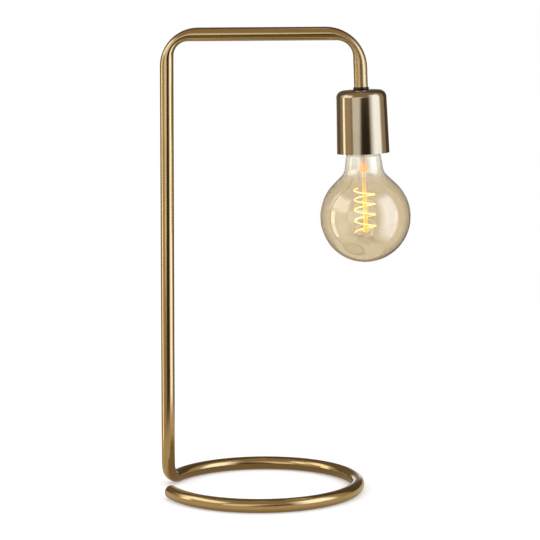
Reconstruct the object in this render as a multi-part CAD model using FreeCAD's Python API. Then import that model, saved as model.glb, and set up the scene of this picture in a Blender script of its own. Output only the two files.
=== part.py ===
import FreeCAD, Part
import math
import os

from FreeCAD import Matrix, Placement, Rotation, Vector

# A bare bulb table lamp. One bent tube is the ring that stands on the table, the foot bend, the upright, the
# arm and the drop. A metal cup on the drop hides the holder of a screw-in globe bulb, and the bulb turns out
# of the holder along its thread.
#
# Sizes are in millimetres and degrees. The origin is the centre of the ring on the table, +Z is up, +X runs
# from the upright towards the bulb, and the viewer stands on the -Y side.
#
# The holder and the bulb are drawn about their own axis first, as if they hung straight down, with height 0
# where the collar rests on the cup. Then they are all placed on the end of the drop, which leans a little.

# ---------------------------------------------------------------- driving dimensions

# The tube's section, and how far a bend squashes it: its thickness in the bend's own plane and its width
# across that plane, both as shares of the straight tube's diameter.
tube_diameter = 12.0
tube_wall = 1.0
bend_thickness_share = 0.78
bend_width_share = 1.05

# The tube's centreline. Angles go round the ring from +X. The ring starts with a short straight run at its
# free end and turns up at the foot. The upright and the drop are each a little out of plumb.
ring_radius = 85.0
ring_start_angle = -155.0
ring_foot_angle = 157.4
ring_end_run = 7.0
foot_bend_radius = 15.0
upright_lean = -0.55
arm_height = 404.0
arm_reach = 168.7
arm_azimuth = -3.7
top_bend_radius = 23.5
drop_bend_radius = 25.5
drop_length = 46.7
drop_lean = 1.75

# The bushing in the ring's free end, where the supply cord goes in
bushing_bore = 6.2
bushing_flange_diameter = 11.7
bushing_flange = 1.5
bushing_groove = 0.5
bushing_length = 4.0

# The collar between drop and cup, and the threaded joint that holds them together
collar_diameter = 13.8
collar_height = 2.2
collar_rounding = 0.9
nipple_diameter = 8.0
nipple_bore = 6.0
nipple_in_drop = 10.0
nipple_in_holder = 6.4
insert_length = 12.0

# The cup
cup_top_diameter = 43.8
cup_rim_diameter = 46.4
cup_height = 55.5
cup_wall = 0.9
cup_land_diameter = 17.0
cup_dome_drop = 0.8
cup_corner_radius = 6.5

# What clamps the cup on the nipple
washer_diameter = 16.0
washer_thickness = 1.0
spring_washer_diameter = 12.6
spring_washer_thickness = 0.8
spring_washer_gap = 1.6
nut_across_flats = 13.0
nut_height = 4.0

# The holder: a cap on the nipple and a body under it, both moulded
holder_diameter = 38.4
holder_neck_diameter = 14.0
holder_neck_height = 4.6
holder_shoulder = 1.8
holder_cap_height = 13.3
holder_cavity_diameter = 29.0
holder_ceiling = 3.2
holder_floor = 3.0
holder_skirt_length = 26.0
holder_pocket_diameter = 29.4
holder_rounding = 0.8

# The small screws and rivets of the holder
set_screw_diameter = 2.5
set_screw_length = 2.2
holder_screw_diameter = 2.5
holder_screw_head_diameter = 3.4
holder_screw_head = 1.0
holder_screw_length = 14.0
holder_screw_circle = 33.8
holder_screw_sink = 0.4
terminal_screw_diameter = 2.8
terminal_screw_head_diameter = 5.2
terminal_screw_head = 1.6
terminal_screw_reach = 2.4
terminal_screw_offset = 10.6
terminal_plate_width = 6.4
terminal_plate_thickness = 0.8
terminal_plate_overhang = 3.0
rivet_diameter = 2.2
rivet_head_diameter = 3.4
rivet_head = 0.5
shell_rivet_radius = 9.8
shell_rivet_angle = 50.0
contact_rivet_offset = 4.6

# The threaded shell, the bulb's threaded cap and the thread they share
thread_pitch = 3.629
thread_depth = 0.9
thread_clearance = 0.3
cap_thread_diameter = 26.14
metal_sheet = 0.35
shell_length = 23.4
shell_floor_bore = 15.0
shell_flare = 0.5
shell_flare_length = 1.2

# The springy tongue in the middle of the holder
contact_width = 5.0
contact_sheet = 0.4
contact_drop = 3.0
contact_hump_length = 5.6
contact_tip_gap = 0.3

# The bulb's cap, from its tip down
tip_diameter = 8.6
tip_height = 1.6
tip_rounding = 1.2
tip_gap = 0.05
insulator_top_diameter = 9.4
insulator_diameter = 19.0
insulator_height = 3.4
insulator_sheet = 2.0
cap_shoulder = 1.7
cap_thread_length = 14.6
cap_skirt_diameter = 26.6
cap_skirt_length = 4.6

# The bulb's glass, in the bulb's own axis: the globe, the shoulder it leaves along a tangent, and the neck
globe_diameter = 80.0
globe_below_rim = 56.3
glass_wall = 0.7
shoulder_angle = 45.5
shoulder_fillet = 14.0
neck_diameter = 30.8
neck_top_below_cap = 5.25
neck_taper = 7.2
neck_rounding = 8.0
neck_end_diameter = 22.2
neck_end_in_cap = 2.45
neck_end_length = 7.0
neck_clearance = 0.15
cement_height = 4.0
cement_below_neck_end = 0.5

# The glass stem inside the neck, and the rod that carries the spiral
stem_tube_diameter = 6.6
stem_tube_wall = 0.8
stem_bend = 2.0
stem_press_height = 43.3
stem_press_diameter = 7.6
stem_tail_diameter = 2.8
stem_tail_wall = 0.5
stem_tail_rise = 5.5
flare_height = 7.0
rod_diameter = 3.4
rod_end_height = -11.6
rod_button_diameter = 4.6

# The spiral: a wire wound on a steady radius whose pitch grows towards its lower end
spiral_radius = 9.0
spiral_wire = 0.9
spiral_top_height = 23.4
spiral_pitch = 7.9
spiral_pitch_growth = 0.7
spiral_lead_in_angle = 48.0
spiral_turns = 4
arcs_per_turn = 4
least_spiral_gap = 0.4

# The wires that feed and hold the spiral
lead_wire = 0.5
lead_wire_bend = 0.8
lead_above_tail = 2.6
lead_side_rise = 2.3
short_lead_offset = 4.3
short_lead_height = 38.5
long_lead_offset = 3.4
long_lead_height = 38.0
long_lead_drop = 2.4
lead_reach = 1.6
hook_wire = 0.4
hook_turns = (1.36, 2.6)

# The two insulated wires that run through the tube to the terminals
core_diameter = 2.0
core_gap = 0.5
core_bend_radius = 2.6
core_start_gap = 1.5
conductor_diameter = 0.9
conductor_bend = 0.5
conductor_bare_length = 5.5
conductor_step = 1.5
conductor_inside = 1.0

# How finely the squashed bends and the thread are drawn, and how closely the spiral's gap is measured
bend_sections = 12
circles_per_pitch = 8
gap_sample = 0.3

# Clearances
slip = 0.1
thread_slip = 0.05
hole_clearance = 0.3
lay_gap = 0.05

# ---------------------------------------------------------------- worked-out places

tube_radius = tube_diameter / 2
ring_height = tube_radius
bore_radius = tube_radius - tube_wall

nipple_radius = nipple_diameter / 2

# Heights in the holder's own axis, from the collar's seat down
cup_inside_top = -cup_wall
washer_bottom = cup_inside_top - washer_thickness
spring_washer_bottom = washer_bottom - spring_washer_thickness
holder_top = spring_washer_bottom - nut_height
nipple_bottom = holder_top - nipple_in_holder
set_screw_height = holder_top - holder_neck_height / 2
holder_neck_bottom = holder_top - holder_neck_height
holder_shoulder_bottom = holder_neck_bottom - holder_shoulder
screw_seat = holder_shoulder_bottom - holder_screw_sink
cavity_top = holder_neck_bottom - holder_ceiling
floor_top = holder_top - holder_cap_height
floor_bottom = floor_top - holder_floor
plate_top = floor_top + terminal_plate_thickness
conductor_level = plate_top + lay_gap + conductor_diameter / 2
terminal_screw_seat = conductor_level + conductor_diameter / 2 + lay_gap
terminal_screw_bottom = plate_top - terminal_screw_reach
core_level = plate_top + rivet_head + lay_gap + core_diameter / 2
skirt_bottom = floor_bottom - holder_skirt_length
shell_bottom = floor_bottom - shell_length
rim_height = -cup_height
globe_height = rim_height - globe_below_rim
contact_low = floor_bottom - contact_drop
tip_top = contact_low - contact_tip_gap
insulator_top = tip_top - tip_height - tip_gap
insulator_bottom = insulator_top - insulator_height
thread_top = insulator_bottom - cap_shoulder
thread_bottom = thread_top - cap_thread_length
cap_bottom = thread_bottom - cap_skirt_length
insulator_base = insulator_bottom - insulator_sheet
neck_top = cap_bottom - neck_top_below_cap
neck_end_bottom = cap_bottom + neck_end_in_cap
neck_end_top = neck_end_bottom + neck_end_length
press_height = globe_height + stem_press_height
tail_top = neck_end_top + stem_tail_rise
rod_end = globe_height + rod_end_height

# The thread is an eccentric circle that walks round the axis as it climbs, so its crest and root are a mean
# radius plus and minus half the depth.
half_depth = thread_depth / 2
cap_thread_mean = cap_thread_diameter / 2 - half_depth
shell_thread_mean = cap_thread_mean + thread_clearance

UP = Vector(0, 0, 1)


# ---------------------------------------------------------------- plain helpers


def heading(angle):
    """The level direction at an angle from +X."""
    return Vector(math.cos(math.radians(angle)), math.sin(math.radians(angle)), 0)


def disc(centre, normal, radius):
    """A flat round face."""
    return Part.Face(Part.Wire(Part.makeCircle(radius, centre, normal)))


def rod(radius, top, bottom, x=0.0, y=0.0):
    """An upright cylinder between two heights."""
    return Part.makeCylinder(radius, top - bottom, Vector(x, y, bottom))


def ring(outer, inner, top, bottom):
    """An upright ring between two heights, from its two radii."""
    return rod(outer, top, bottom).cut(rod(inner, top, bottom))


def plate(x_low, x_high, y_low, y_high, top, bottom):
    """A flat rectangular plate."""
    return Part.makeBox(x_high - x_low, y_high - y_low, top - bottom, Vector(x_low, y_low, bottom))


def hexagon_prism(across_flats, height):
    """An upright hexagon prism on the origin."""
    corners = [heading(60 * i) * (across_flats / math.sqrt(3)) for i in range(7)]
    return Part.Face(Part.makePolygon(corners)).extrude(UP * height)


def joined(shapes):
    """One solid from shapes that touch or overlap."""
    return shapes[0].multiFuse(shapes[1:]).removeSplitter().Solids[0]


def unit(vector):
    """A copy of a vector, one long."""
    return Vector(vector).normalize()


def rounded_path(corners):
    """Edges through (point, rounding) corners: straight runs joined by tangent arcs."""
    edges = []
    last = corners[0][0]
    for (before, _), (point, rounding), (after, _) in zip(corners, corners[1:], corners[2:]):
        back = unit(before - point)
        onward = unit(after - point)
        half = back.getAngle(onward) / 2
        trimmed = rounding / math.tan(half)
        start = point + back * trimmed
        end = point + onward * trimmed
        edges.append(Part.LineSegment(last, start).toShape())
        if rounding:
            middle = point + unit(back + onward) * (rounding / math.sin(half) - rounding)
            edges.append(Part.Arc(start, middle, end).toShape())
        last = end
    edges.append(Part.LineSegment(last, corners[-1][0]).toShape())
    return edges


def outline(points):
    """Corners of a half section, from (radius, height) or (radius, height, rounding)."""
    return [(Vector(p[0], 0, p[1]), p[2] if len(p) > 2 else 0.0) for p in points]


def turned_edges(edges):
    """A solid of revolution about the axis, from the edges round its half section."""
    return Part.Face(Part.Wire(Part.__sortEdges__(edges))).revolve(Vector(), UP, 360)


def turned(points):
    """A solid of revolution about the axis, from the corners of its half section."""
    corners = outline(points)
    return turned_edges(rounded_path(corners + corners[:1]))


def right_of(direction):
    """The direction to the right of another, in the half section's plane."""
    return Vector(direction.z, 0, -direction.x)


def inset(corners, distance):
    """An open outline moved by a distance to its right, with its roundings kept concentric."""
    moved = []
    last = len(corners) - 1
    for i, (point, rounding) in enumerate(corners):
        leaving = unit(corners[min(i, last - 1) + 1][0] - corners[min(i, last - 1)][0])
        arriving = unit(point - corners[i - 1][0]) if i else leaving
        side = right_of(arriving)
        miter = unit(side + right_of(leaving))
        turns_left = arriving.x * leaving.z - arriving.z * leaving.x > 0
        kept = rounding + distance if turns_left else rounding - distance
        moved.append((point + miter * (distance / miter.dot(side)), kept if rounding else 0.0))
    return moved


def walled(points, wall):
    """A turned wall: an open outline from its top end down, and the same outline moved in by the wall."""
    outer = outline(points)
    inner = inset(outer, wall)
    return turned([(p.x, p.z, r) for p, r in outer + inner[::-1]])


def crossing(point, along, other, other_along):
    """Where two lines in the half section's plane cross."""
    gap = other - point
    across = along.x * other_along.z - along.z * other_along.x
    return point + along * ((gap.x * other_along.z - gap.z * other_along.x) / across)


def wire_along(edges, diameter):
    """A round wire along a path of lines and arcs."""
    first = edges[0]
    start = first.valueAt(first.FirstParameter)
    section = Part.Wire(Part.makeCircle(diameter / 2, start, first.tangentAt(first.FirstParameter)))
    return Part.Wire(edges).makePipeShell([section], True, False)


# ---------------------------------------------------------------- the tube's route

# A leg of the route is a straight run, or a bend about an axis through a centre. A point or a direction that
# is carried along a leg turns with it.


def straight(start, along, length):
    return {"start": start, "along": along, "length": length}


def bend(start, along, new_along, radius, angle=None):
    axis = unit(along.cross(new_along))
    centre = start + axis.cross(along) * radius
    angle = angle or math.degrees(along.getAngle(new_along))
    return {"start": start, "along": along, "axis": axis, "centre": centre, "angle": angle, "radius": radius}


def carried(leg, vector, share=1.0):
    """A direction after a share of a leg."""
    if "axis" not in leg:
        return Vector(vector)
    return Rotation(leg["axis"], leg["angle"] * share).multVec(vector)


def point_on(leg, share=1.0):
    """The point on the centreline after a share of a leg."""
    if "axis" not in leg:
        return leg["start"] + leg["along"] * (leg["length"] * share)
    return leg["centre"] + carried(leg, leg["start"] - leg["centre"], share)


def setback(along, new_along, radius):
    """How far before its corner a bend starts."""
    return radius * math.tan(along.getAngle(new_along) / 2)


def tube_route():
    """The centreline: end run, ring, foot bend, upright, top bend, arm, drop bend, drop."""
    out = heading(ring_start_angle)
    along = UP.cross(out)
    ring_start = out * ring_radius + UP * ring_height
    end_run = straight(ring_start - along * ring_end_run, along, ring_end_run)
    turn = (ring_foot_angle - ring_start_angle) % 360
    base = bend(ring_start, along, -out, ring_radius, turn)

    up = Vector(-math.sin(math.radians(upright_lean)), 0, math.cos(math.radians(upright_lean)))
    foot = bend(point_on(base), carried(base, along), up, foot_bend_radius)

    arm_along = heading(arm_azimuth)
    lean = math.radians(drop_lean)
    down = arm_along * math.sin(lean) - UP * math.cos(lean)
    foot_end = point_on(foot)
    to_corner = (arm_height - foot_end.z) / up.z
    top_setback = setback(up, arm_along, top_bend_radius)
    drop_setback = setback(arm_along, down, drop_bend_radius)
    upright = straight(foot_end, up, to_corner - top_setback)
    top = bend(point_on(upright), up, arm_along, top_bend_radius)
    arm = straight(point_on(top), arm_along, arm_reach - top_setback - drop_setback)
    over = bend(point_on(arm), arm_along, down, drop_bend_radius)
    drop = straight(point_on(over), down, drop_length - drop_setback)
    return [end_run, base, foot, upright, top, arm, over, drop]


def squashed(leg, share, radius, inward):
    """The section of a bent leg: an ellipse, thinner in the bend's plane and a little wider across it."""
    middle = math.sin(math.pi * share) ** 2
    thick = radius * (1 - (1 - bend_thickness_share) * middle) - inward
    wide = radius * (1 + (bend_width_share - 1) * middle) - inward
    place = point_on(leg, share)
    side = leg["axis"]
    out = unit(place - leg["centre"])
    along = out.cross(side)
    columns = [(out, thick), (side, wide), (along, 1.0), (place, 1.0)]
    rows = [[v[i] * size for v, size in columns] for i in range(3)]
    circle = Part.makeCircle(1.0).toNurbs()
    return Part.Wire(circle.transformGeometry(Matrix(*rows[0], *rows[1], *rows[2], 0, 0, 0, 1)).Edges)


def leg_solid(leg, radius, offset=None, inward=0.0, is_squashed=False):
    """The solid that a round section sweeps along one leg."""
    place = leg["start"] + (offset or Vector())
    if is_squashed:
        shares = [i / bend_sections for i in range(bend_sections + 1)]
        return Part.makeLoft([squashed(leg, share, radius, inward) for share in shares], True)
    section = disc(place, leg["along"], radius - inward)
    if "axis" in leg:
        return section.revolve(leg["centre"], leg["axis"], leg["angle"])
    return section.extrude(leg["along"] * leg["length"])


def route_length(route):
    """The length of the centreline."""
    lengths = [leg.get("length") or math.radians(leg["angle"]) * leg["radius"] for leg in route]
    return sum(lengths)


ROUTE = tube_route()
TIGHT_BENDS = (2, 4, 6)
DROP = ROUTE[-1]
holder_place = Placement(point_on(DROP) + DROP["along"] * collar_height, Rotation(UP, -DROP["along"]))


def make_stem_tube():
    """The whole tube: an outer solid less the bore, each made leg by leg."""
    halves = []
    for inward in (0.0, tube_wall):
        legs = [
            leg_solid(leg, tube_radius, inward=inward, is_squashed=i in TIGHT_BENDS)
            for i, leg in enumerate(ROUTE)
        ]
        halves.append(joined(legs))
    return halves[0].cut(halves[1])


def make_tube_end_bushing():
    """A flanged bushing in the ring's free end. The supply cord goes through its bore."""
    shank = rod(bore_radius - slip, 0, -bushing_length)
    neck = rod(bore_radius - slip - bushing_groove, bushing_groove, 0)
    flange = rod(bushing_flange_diameter / 2, bushing_groove + bushing_flange, bushing_groove)
    bore = rod(bushing_bore / 2, bushing_groove + bushing_flange, -bushing_length)
    body = joined([shank, neck, flange]).cut(bore)
    end = ROUTE[0]
    body.Placement = Placement(end["start"], Rotation(UP, -end["along"]))
    return body


# ---------------------------------------------------------------- the joint between drop and cup


def make_tube_insert():
    """The threaded insert in the end of the drop."""
    top = collar_height + insert_length
    return ring(bore_radius - slip, nipple_radius + thread_slip, top, collar_height)


def make_threaded_nipple():
    """The hollow threaded tube from the drop to the holder."""
    return ring(nipple_radius, nipple_bore / 2, collar_height + nipple_in_drop, nipple_bottom)


def make_collar_ring():
    """The black ring that the cup hangs against."""
    outer = collar_diameter / 2
    inner = nipple_radius + hole_clearance
    profile = [(inner, 0), (inner, collar_height)]
    profile += [(outer, collar_height, collar_rounding), (outer, 0, collar_rounding)]
    return turned(profile)


def make_socket_cup():
    """The domed cup: a flat land, a low dome, a round corner and a wall that widens a little to the rim."""
    rim = cup_rim_diameter / 2
    land = (cup_land_diameter / 2, 0)
    corner = (cup_top_diameter / 2, -cup_dome_drop, cup_corner_radius)
    return walled([(nipple_radius + hole_clearance, 0), land, corner, (rim, rim_height)], cup_wall)


def make_cup_washer():
    return ring(washer_diameter / 2, nipple_radius + hole_clearance, cup_inside_top, washer_bottom)


def make_cup_lock_washer():
    """A split spring washer."""
    outer = spring_washer_diameter / 2
    washer = ring(outer, nipple_radius + slip, washer_bottom, spring_washer_bottom)
    half_gap = spring_washer_gap / 2
    split = plate(0, outer + 1, -half_gap, half_gap, washer_bottom, spring_washer_bottom)
    return washer.cut(split)


def make_cup_nut():
    """A hexagon nut with chamfered corners."""
    hexagon = hexagon_prism(nut_across_flats, nut_height)
    hexagon.translate(UP * holder_top)
    flat = nut_across_flats / 2
    corner = nut_across_flats / math.sqrt(3)
    chamfer = (corner - flat) / 2
    low, high = holder_top, spring_washer_bottom
    barrel = [(0, low), (flat, low), (corner, low + chamfer)]
    barrel += [(corner, high - chamfer), (flat, high), (0, high)]
    nut = hexagon.common(turned(barrel))
    return nut.cut(rod(nipple_radius + thread_slip, spring_washer_bottom, holder_top))


# ---------------------------------------------------------------- the holder


def holder_screw_places():
    return [(-holder_screw_circle / 2, 0.0), (holder_screw_circle / 2, 0.0)]


def shell_rivet_places():
    """The shell's two rivets, under the neutral plate."""
    places = [heading(90 + side * shell_rivet_angle) * shell_rivet_radius for side in (1, -1)]
    return [(p.x, p.y) for p in places]


def make_holder_cap():
    """The moulded cap: a neck on the nipple, a sloping shoulder and a deep cavity for the terminals."""
    outer = holder_diameter / 2
    neck = holder_neck_diameter / 2
    cavity = holder_cavity_diameter / 2
    bore = nipple_radius + thread_slip
    profile = [(bore, cavity_top), (bore, holder_top), (neck, holder_top, holder_rounding)]
    profile += [(neck, holder_neck_bottom), (outer, holder_shoulder_bottom, holder_rounding)]
    profile += [(outer, floor_top), (cavity, floor_top), (cavity, cavity_top, holder_rounding)]
    body = turned(profile)
    for x, y in holder_screw_places():
        body = body.cut(rod(holder_screw_diameter / 2 + hole_clearance, holder_top, floor_top, x, y))
        body = body.cut(rod(holder_screw_head_diameter / 2 + hole_clearance, holder_top, screw_seat, x, y))
    return body.cut(level_rod(set_screw_diameter / 2 + thread_slip, 0, holder_neck_diameter))


def level_rod(radius, start, end):
    """A level cylinder at the set screw's height, between two distances from the axis."""
    return Part.makeCylinder(radius, end - start, Vector(start, 0, set_screw_height), Vector(1, 0, 0))


def make_holder_set_screw():
    """The grub screw that locks the cap on the nipple, with the hexagon socket in its end."""
    start = nipple_radius + lay_gap
    end = start + set_screw_length
    socket = hexagon_prism(set_screw_diameter / 2, set_screw_length / 2)
    socket.Placement = Placement(Vector(end, 0, set_screw_height), Rotation(UP, Vector(-1, 0, 0)))
    return level_rod(set_screw_diameter / 2, start, end).cut(socket)


def make_holder_screws():
    """Two long screws from the cap's shoulder down into the body's wall."""
    screws = []
    for x, y in holder_screw_places():
        shank = rod(holder_screw_diameter / 2, screw_seat, screw_seat - holder_screw_length, x, y)
        head = rod(holder_screw_head_diameter / 2, screw_seat + holder_screw_head, screw_seat, x, y)
        slot = screw_slot(holder_screw_head_diameter, screw_seat + holder_screw_head, x, y)
        screws.append(joined([shank, head]).cut(slot))
    return Part.makeCompound(screws)


def screw_slot(head_diameter, top, x, y):
    """The driver's slot across a screw's head."""
    reach = head_diameter / 2 + 1
    half = head_diameter / 10
    depth = head_diameter / 8
    return plate(x - reach, x + reach, y - half, y + half, top, top - depth)


def make_holder_body():
    """The moulded body: a floor that carries the metal parts, and a skirt round the threaded shell."""
    outer = holder_diameter / 2
    pocket = holder_pocket_diameter / 2
    profile = [(0, floor_bottom), (0, floor_top), (outer, floor_top), (outer, skirt_bottom, holder_rounding)]
    profile += [(pocket, skirt_bottom, holder_rounding), (pocket, floor_bottom)]
    body = turned(profile)
    low = screw_seat - holder_screw_length
    for x, y in holder_screw_places():
        body = body.cut(rod(holder_screw_diameter / 2 + thread_slip, floor_top, low, x, y))
    for x, y in shell_rivet_places() + [(0.0, -contact_rivet_offset)]:
        body = body.cut(rod(rivet_diameter / 2 + thread_slip, floor_top, floor_bottom, x, y))
    for y in (-terminal_screw_offset, terminal_screw_offset):
        hole = terminal_screw_diameter / 2 + hole_clearance
        body = body.cut(rod(hole, floor_top, terminal_screw_bottom - hole_clearance, 0, y))
    return body


def terminal_plate(shape, rivets, screw_y):
    """A terminal plate with its rivet holes and its screw hole."""
    for x, y in rivets:
        shape = shape.cut(rod(rivet_diameter / 2 + thread_slip, plate_top, floor_top, x, y))
    return shape.cut(rod(terminal_screw_diameter / 2 + thread_slip, plate_top, floor_top, 0, screw_y))


def make_terminal_plate_live():
    """The plate over the middle contact's rivet."""
    half = terminal_plate_width / 2
    near = -contact_rivet_offset + rivet_head_diameter / 2 + lay_gap
    far = -terminal_screw_offset - terminal_plate_overhang
    shape = plate(-half, half, far, near, plate_top, floor_top)
    return terminal_plate(shape, [(0.0, -contact_rivet_offset)], -terminal_screw_offset)


def make_terminal_plate_neutral():
    """The plate over the shell's two rivets, with a tab under its screw."""
    half = terminal_plate_width / 2
    margin = rivet_head_diameter / 2 + lay_gap
    rivets = shell_rivet_places()
    reach = max(x for x, _ in rivets) + margin
    near, far = rivets[0][1] - margin, rivets[0][1] + margin
    bar = plate(-reach, reach, near, far, plate_top, floor_top)
    tab = plate(-half, half, near, terminal_screw_offset + terminal_plate_overhang, plate_top, floor_top)
    return terminal_plate(joined([bar, tab]), rivets, terminal_screw_offset)


def make_terminal_screws():
    """The two screws that clamp the wires."""
    screws = []
    top = terminal_screw_seat + terminal_screw_head
    for y in (-terminal_screw_offset, terminal_screw_offset):
        shank = rod(terminal_screw_diameter / 2, terminal_screw_seat, terminal_screw_bottom, 0, y)
        head = rod(terminal_screw_head_diameter / 2, top, terminal_screw_seat, 0, y)
        screws.append(joined([shank, head]).cut(screw_slot(terminal_screw_head_diameter, top, 0, y)))
    return Part.makeCompound(screws)


def rivet(x, y, low):
    """A rivet from under a sheet to the top of the terminal plate, with a head at each end."""
    shank = rod(rivet_diameter / 2, plate_top, low, x, y)
    upper = rod(rivet_head_diameter / 2, plate_top + rivet_head, plate_top, x, y)
    lower = rod(rivet_head_diameter / 2, low, low - rivet_head, x, y)
    return joined([shank, upper, lower])


def make_shell_rivets():
    return Part.makeCompound([rivet(x, y, floor_bottom - metal_sheet) for x, y in shell_rivet_places()])


def make_contact_rivet():
    return rivet(0.0, -contact_rivet_offset, floor_bottom - contact_sheet)


def make_centre_contact():
    """A bent spring strip: flat under the floor, down to a hump on the axis, and up again at its free end."""
    hump = contact_low + contact_sheet
    flat_end = -contact_hump_length / 2
    tail = -contact_rivet_offset - rivet_head_diameter / 2 - lay_gap
    rise = (floor_bottom - hump) / 2
    corners = outline([
        (tail, floor_bottom),
        (flat_end, floor_bottom, contact_sheet),
        (0, hump, 2 * contact_sheet),
        (-flat_end, hump + rise),
    ])
    under = inset(corners, contact_sheet)
    loop = corners + under[::-1]
    strip = Part.Face(Part.Wire(rounded_path(loop + loop[:1])))
    strip = strip.extrude(Vector(0, contact_width, 0))
    strip.translate(Vector(0, -contact_width / 2, 0))
    strip.rotate(Vector(), UP, 90)
    hole = rod(rivet_diameter / 2 + thread_slip, floor_bottom, floor_bottom - contact_sheet)
    hole.translate(Vector(0, -contact_rivet_offset, 0))
    return strip.cut(hole)


# ---------------------------------------------------------------- the thread that bulb and shell share


def thread_circles(mean, top, bottom, keep, inward=0.0):
    """Circles down a knuckle thread. The centre walks round the axis once a pitch, and at each end the thread
    fades out while its root (keep -1) or its crest (keep 1) keeps its radius."""
    steps = round((top - bottom) / thread_pitch * circles_per_pitch)
    fade = thread_pitch / 2
    wires = []
    for i in range(steps + 1):
        height = top + (bottom - top) * i / steps
        depth = half_depth * min(1.0, (top - height) / fade, (height - bottom) / fade)
        radius = mean + keep * (half_depth - depth) - inward
        centre = heading(360 * height / thread_pitch) * depth + UP * height
        wires.append(Part.Wire(Part.makeCircle(radius, centre, UP)))
    return wires


def threaded_wall(mean, top, bottom, keep):
    """A sheet-metal thread: a ruled loft through circles, less the same thread drawn one sheet smaller."""
    outer = Part.makeLoft(thread_circles(mean, top, bottom, keep), True, True)
    inner = Part.makeLoft(thread_circles(mean, top, bottom, keep, metal_sheet), True, True)
    return outer.cut(inner)


def make_screw_shell():
    """The threaded shell: a floor with a wide hole, a rolled thread and a flared mouth."""
    mean = shell_thread_mean + metal_sheet
    outer = mean + half_depth
    inner = outer - metal_sheet
    top = floor_bottom - metal_sheet
    mouth = shell_bottom + shell_flare_length
    floor = ring(outer, shell_floor_bore / 2, floor_bottom, top)
    flare = walled([
        (outer, mouth),
        (outer, mouth - shell_flare_length / 4),
        (outer + shell_flare, shell_bottom),
    ], metal_sheet)
    shell = joined([floor, threaded_wall(mean, top, mouth, 1), flare])
    for x, y in shell_rivet_places():
        shell = shell.cut(rod(rivet_diameter / 2 + thread_slip, floor_bottom, top, x, y))
    return shell


# ---------------------------------------------------------------- the bulb's cap


def make_bulb_cap():
    """The bulb's metal cap: a rolled shoulder round the insulator, the thread and a plain skirt."""
    root = cap_thread_mean - half_depth
    collar = insulator_diameter / 2 + slip + metal_sheet
    skirt = cap_skirt_diameter / 2
    step = metal_sheet
    shoulder = walled([
        (collar, insulator_bottom),
        (collar, insulator_bottom - cap_shoulder / 4),
        (root, thread_top + cap_shoulder / 4),
        (root, thread_top),
    ], metal_sheet)
    lower = walled([
        (root, thread_bottom),
        (root, thread_bottom - step),
        (skirt, thread_bottom - cap_shoulder / 2, step),
        (skirt, cap_bottom),
    ], metal_sheet)
    return joined([shoulder, threaded_wall(cap_thread_mean, thread_top, thread_bottom, -1), lower])


def make_bulb_insulator():
    """The black glass disc in the cap's end, with the live wire's hole."""
    outer = insulator_diameter / 2
    profile = [(lead_wire, insulator_base), (lead_wire, insulator_top)]
    profile += [(insulator_top_diameter / 2, insulator_top)]
    profile += [(outer, insulator_bottom), (outer, insulator_base)]
    return turned(profile)


def make_bulb_contact():
    """The solder button at the bulb's tip."""
    outer = tip_diameter / 2
    low = tip_top - tip_height
    return turned([(0, low), (0, tip_top), (outer, tip_top, tip_rounding), (outer, low)])


# ---------------------------------------------------------------- the bulb's glass


def neck_outline():
    """The outer corners of the neck, from its end in the cap down to where it leaves the globe."""
    angle = math.radians(shoulder_angle)
    leaves = Vector(math.cos(angle), 0, math.sin(angle)) * (globe_diameter / 2) + UP * globe_height
    shoulder = Vector(-math.sin(angle), 0, math.cos(angle))
    taper = math.radians(neck_taper)
    side = Vector(math.sin(taper), 0, -math.cos(taper))
    end = neck_end_diameter / 2
    neck = Vector(neck_diameter / 2, 0, neck_top)
    return [
        (Vector(end, 0, neck_end_top), 0.0),
        (Vector(end, 0, neck_end_bottom), neck_rounding / 4),
        (neck, neck_rounding),
        (crossing(leaves, shoulder, neck, side), shoulder_fillet),
        (leaves, 0.0),
    ]


def glass_edges(inward):
    """One side of the glass: the neck's outline and the globe's arc down to its pole."""
    corners = inset(neck_outline(), inward)
    radius = globe_diameter / 2 - inward
    centre = UP * globe_height
    halfway = math.radians((shoulder_angle - 90) / 2)
    middle = centre + Vector(math.cos(halfway), 0, math.sin(halfway)) * radius
    globe = Part.Arc(corners[-1][0], middle, centre - UP * radius).toShape()
    return rounded_path(corners) + [globe]


def make_bulb_glass():
    """The blown globe and neck, one wall thick."""
    outer = glass_edges(0.0)
    inner = glass_edges(glass_wall)
    top = Part.LineSegment(outer[0].Vertexes[0].Point, inner[0].Vertexes[0].Point).toShape()
    pole = UP * (globe_height - globe_diameter / 2)
    axis = Part.LineSegment(pole, pole + UP * glass_wall).toShape()
    return turned_edges(outer + inner + [top, axis])


def make_bulb_cement():
    """The ring of cement between the neck and the cap."""
    inner = neck_end_diameter / 2 + lay_gap
    outer = cap_thread_mean - half_depth - metal_sheet - lay_gap
    top = neck_end_top - cement_below_neck_end
    return ring(outer, inner, top, top - cement_height)


def make_bulb_stem():
    """The glass stem: a flare in the neck's end, a tube, the press that closes it round the wires and the
    rod, and the sealed tail inside."""
    rim = neck_end_diameter / 2 - glass_wall - neck_clearance
    tube = stem_tube_diameter / 2
    flared = walled([
        (rim, neck_end_top),
        (tube, neck_end_top - flare_height, stem_bend),
        (tube, press_height),
    ], stem_tube_wall)
    press = Part.makeSphere(stem_press_diameter / 2, Vector(0, 0, press_height))
    tail = stem_tail_diameter / 2
    tail_wall = turned([
        (0, press_height),
        (0, tail_top),
        (tail, tail_top, stem_tail_wall),
        (tail, press_height),
    ])
    tail_bore = rod(tail - stem_tail_wall, tail_top - tail, press_height + stem_press_diameter / 2)
    stem = joined([flared, press, tail_wall]).cut(tail_bore)
    stem = stem.cut(rod(rod_diameter / 2, press_height, rod_end))
    for wire in lead_wires():
        stem = stem.cut(wire)
    return stem.Solids[0]


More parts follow.
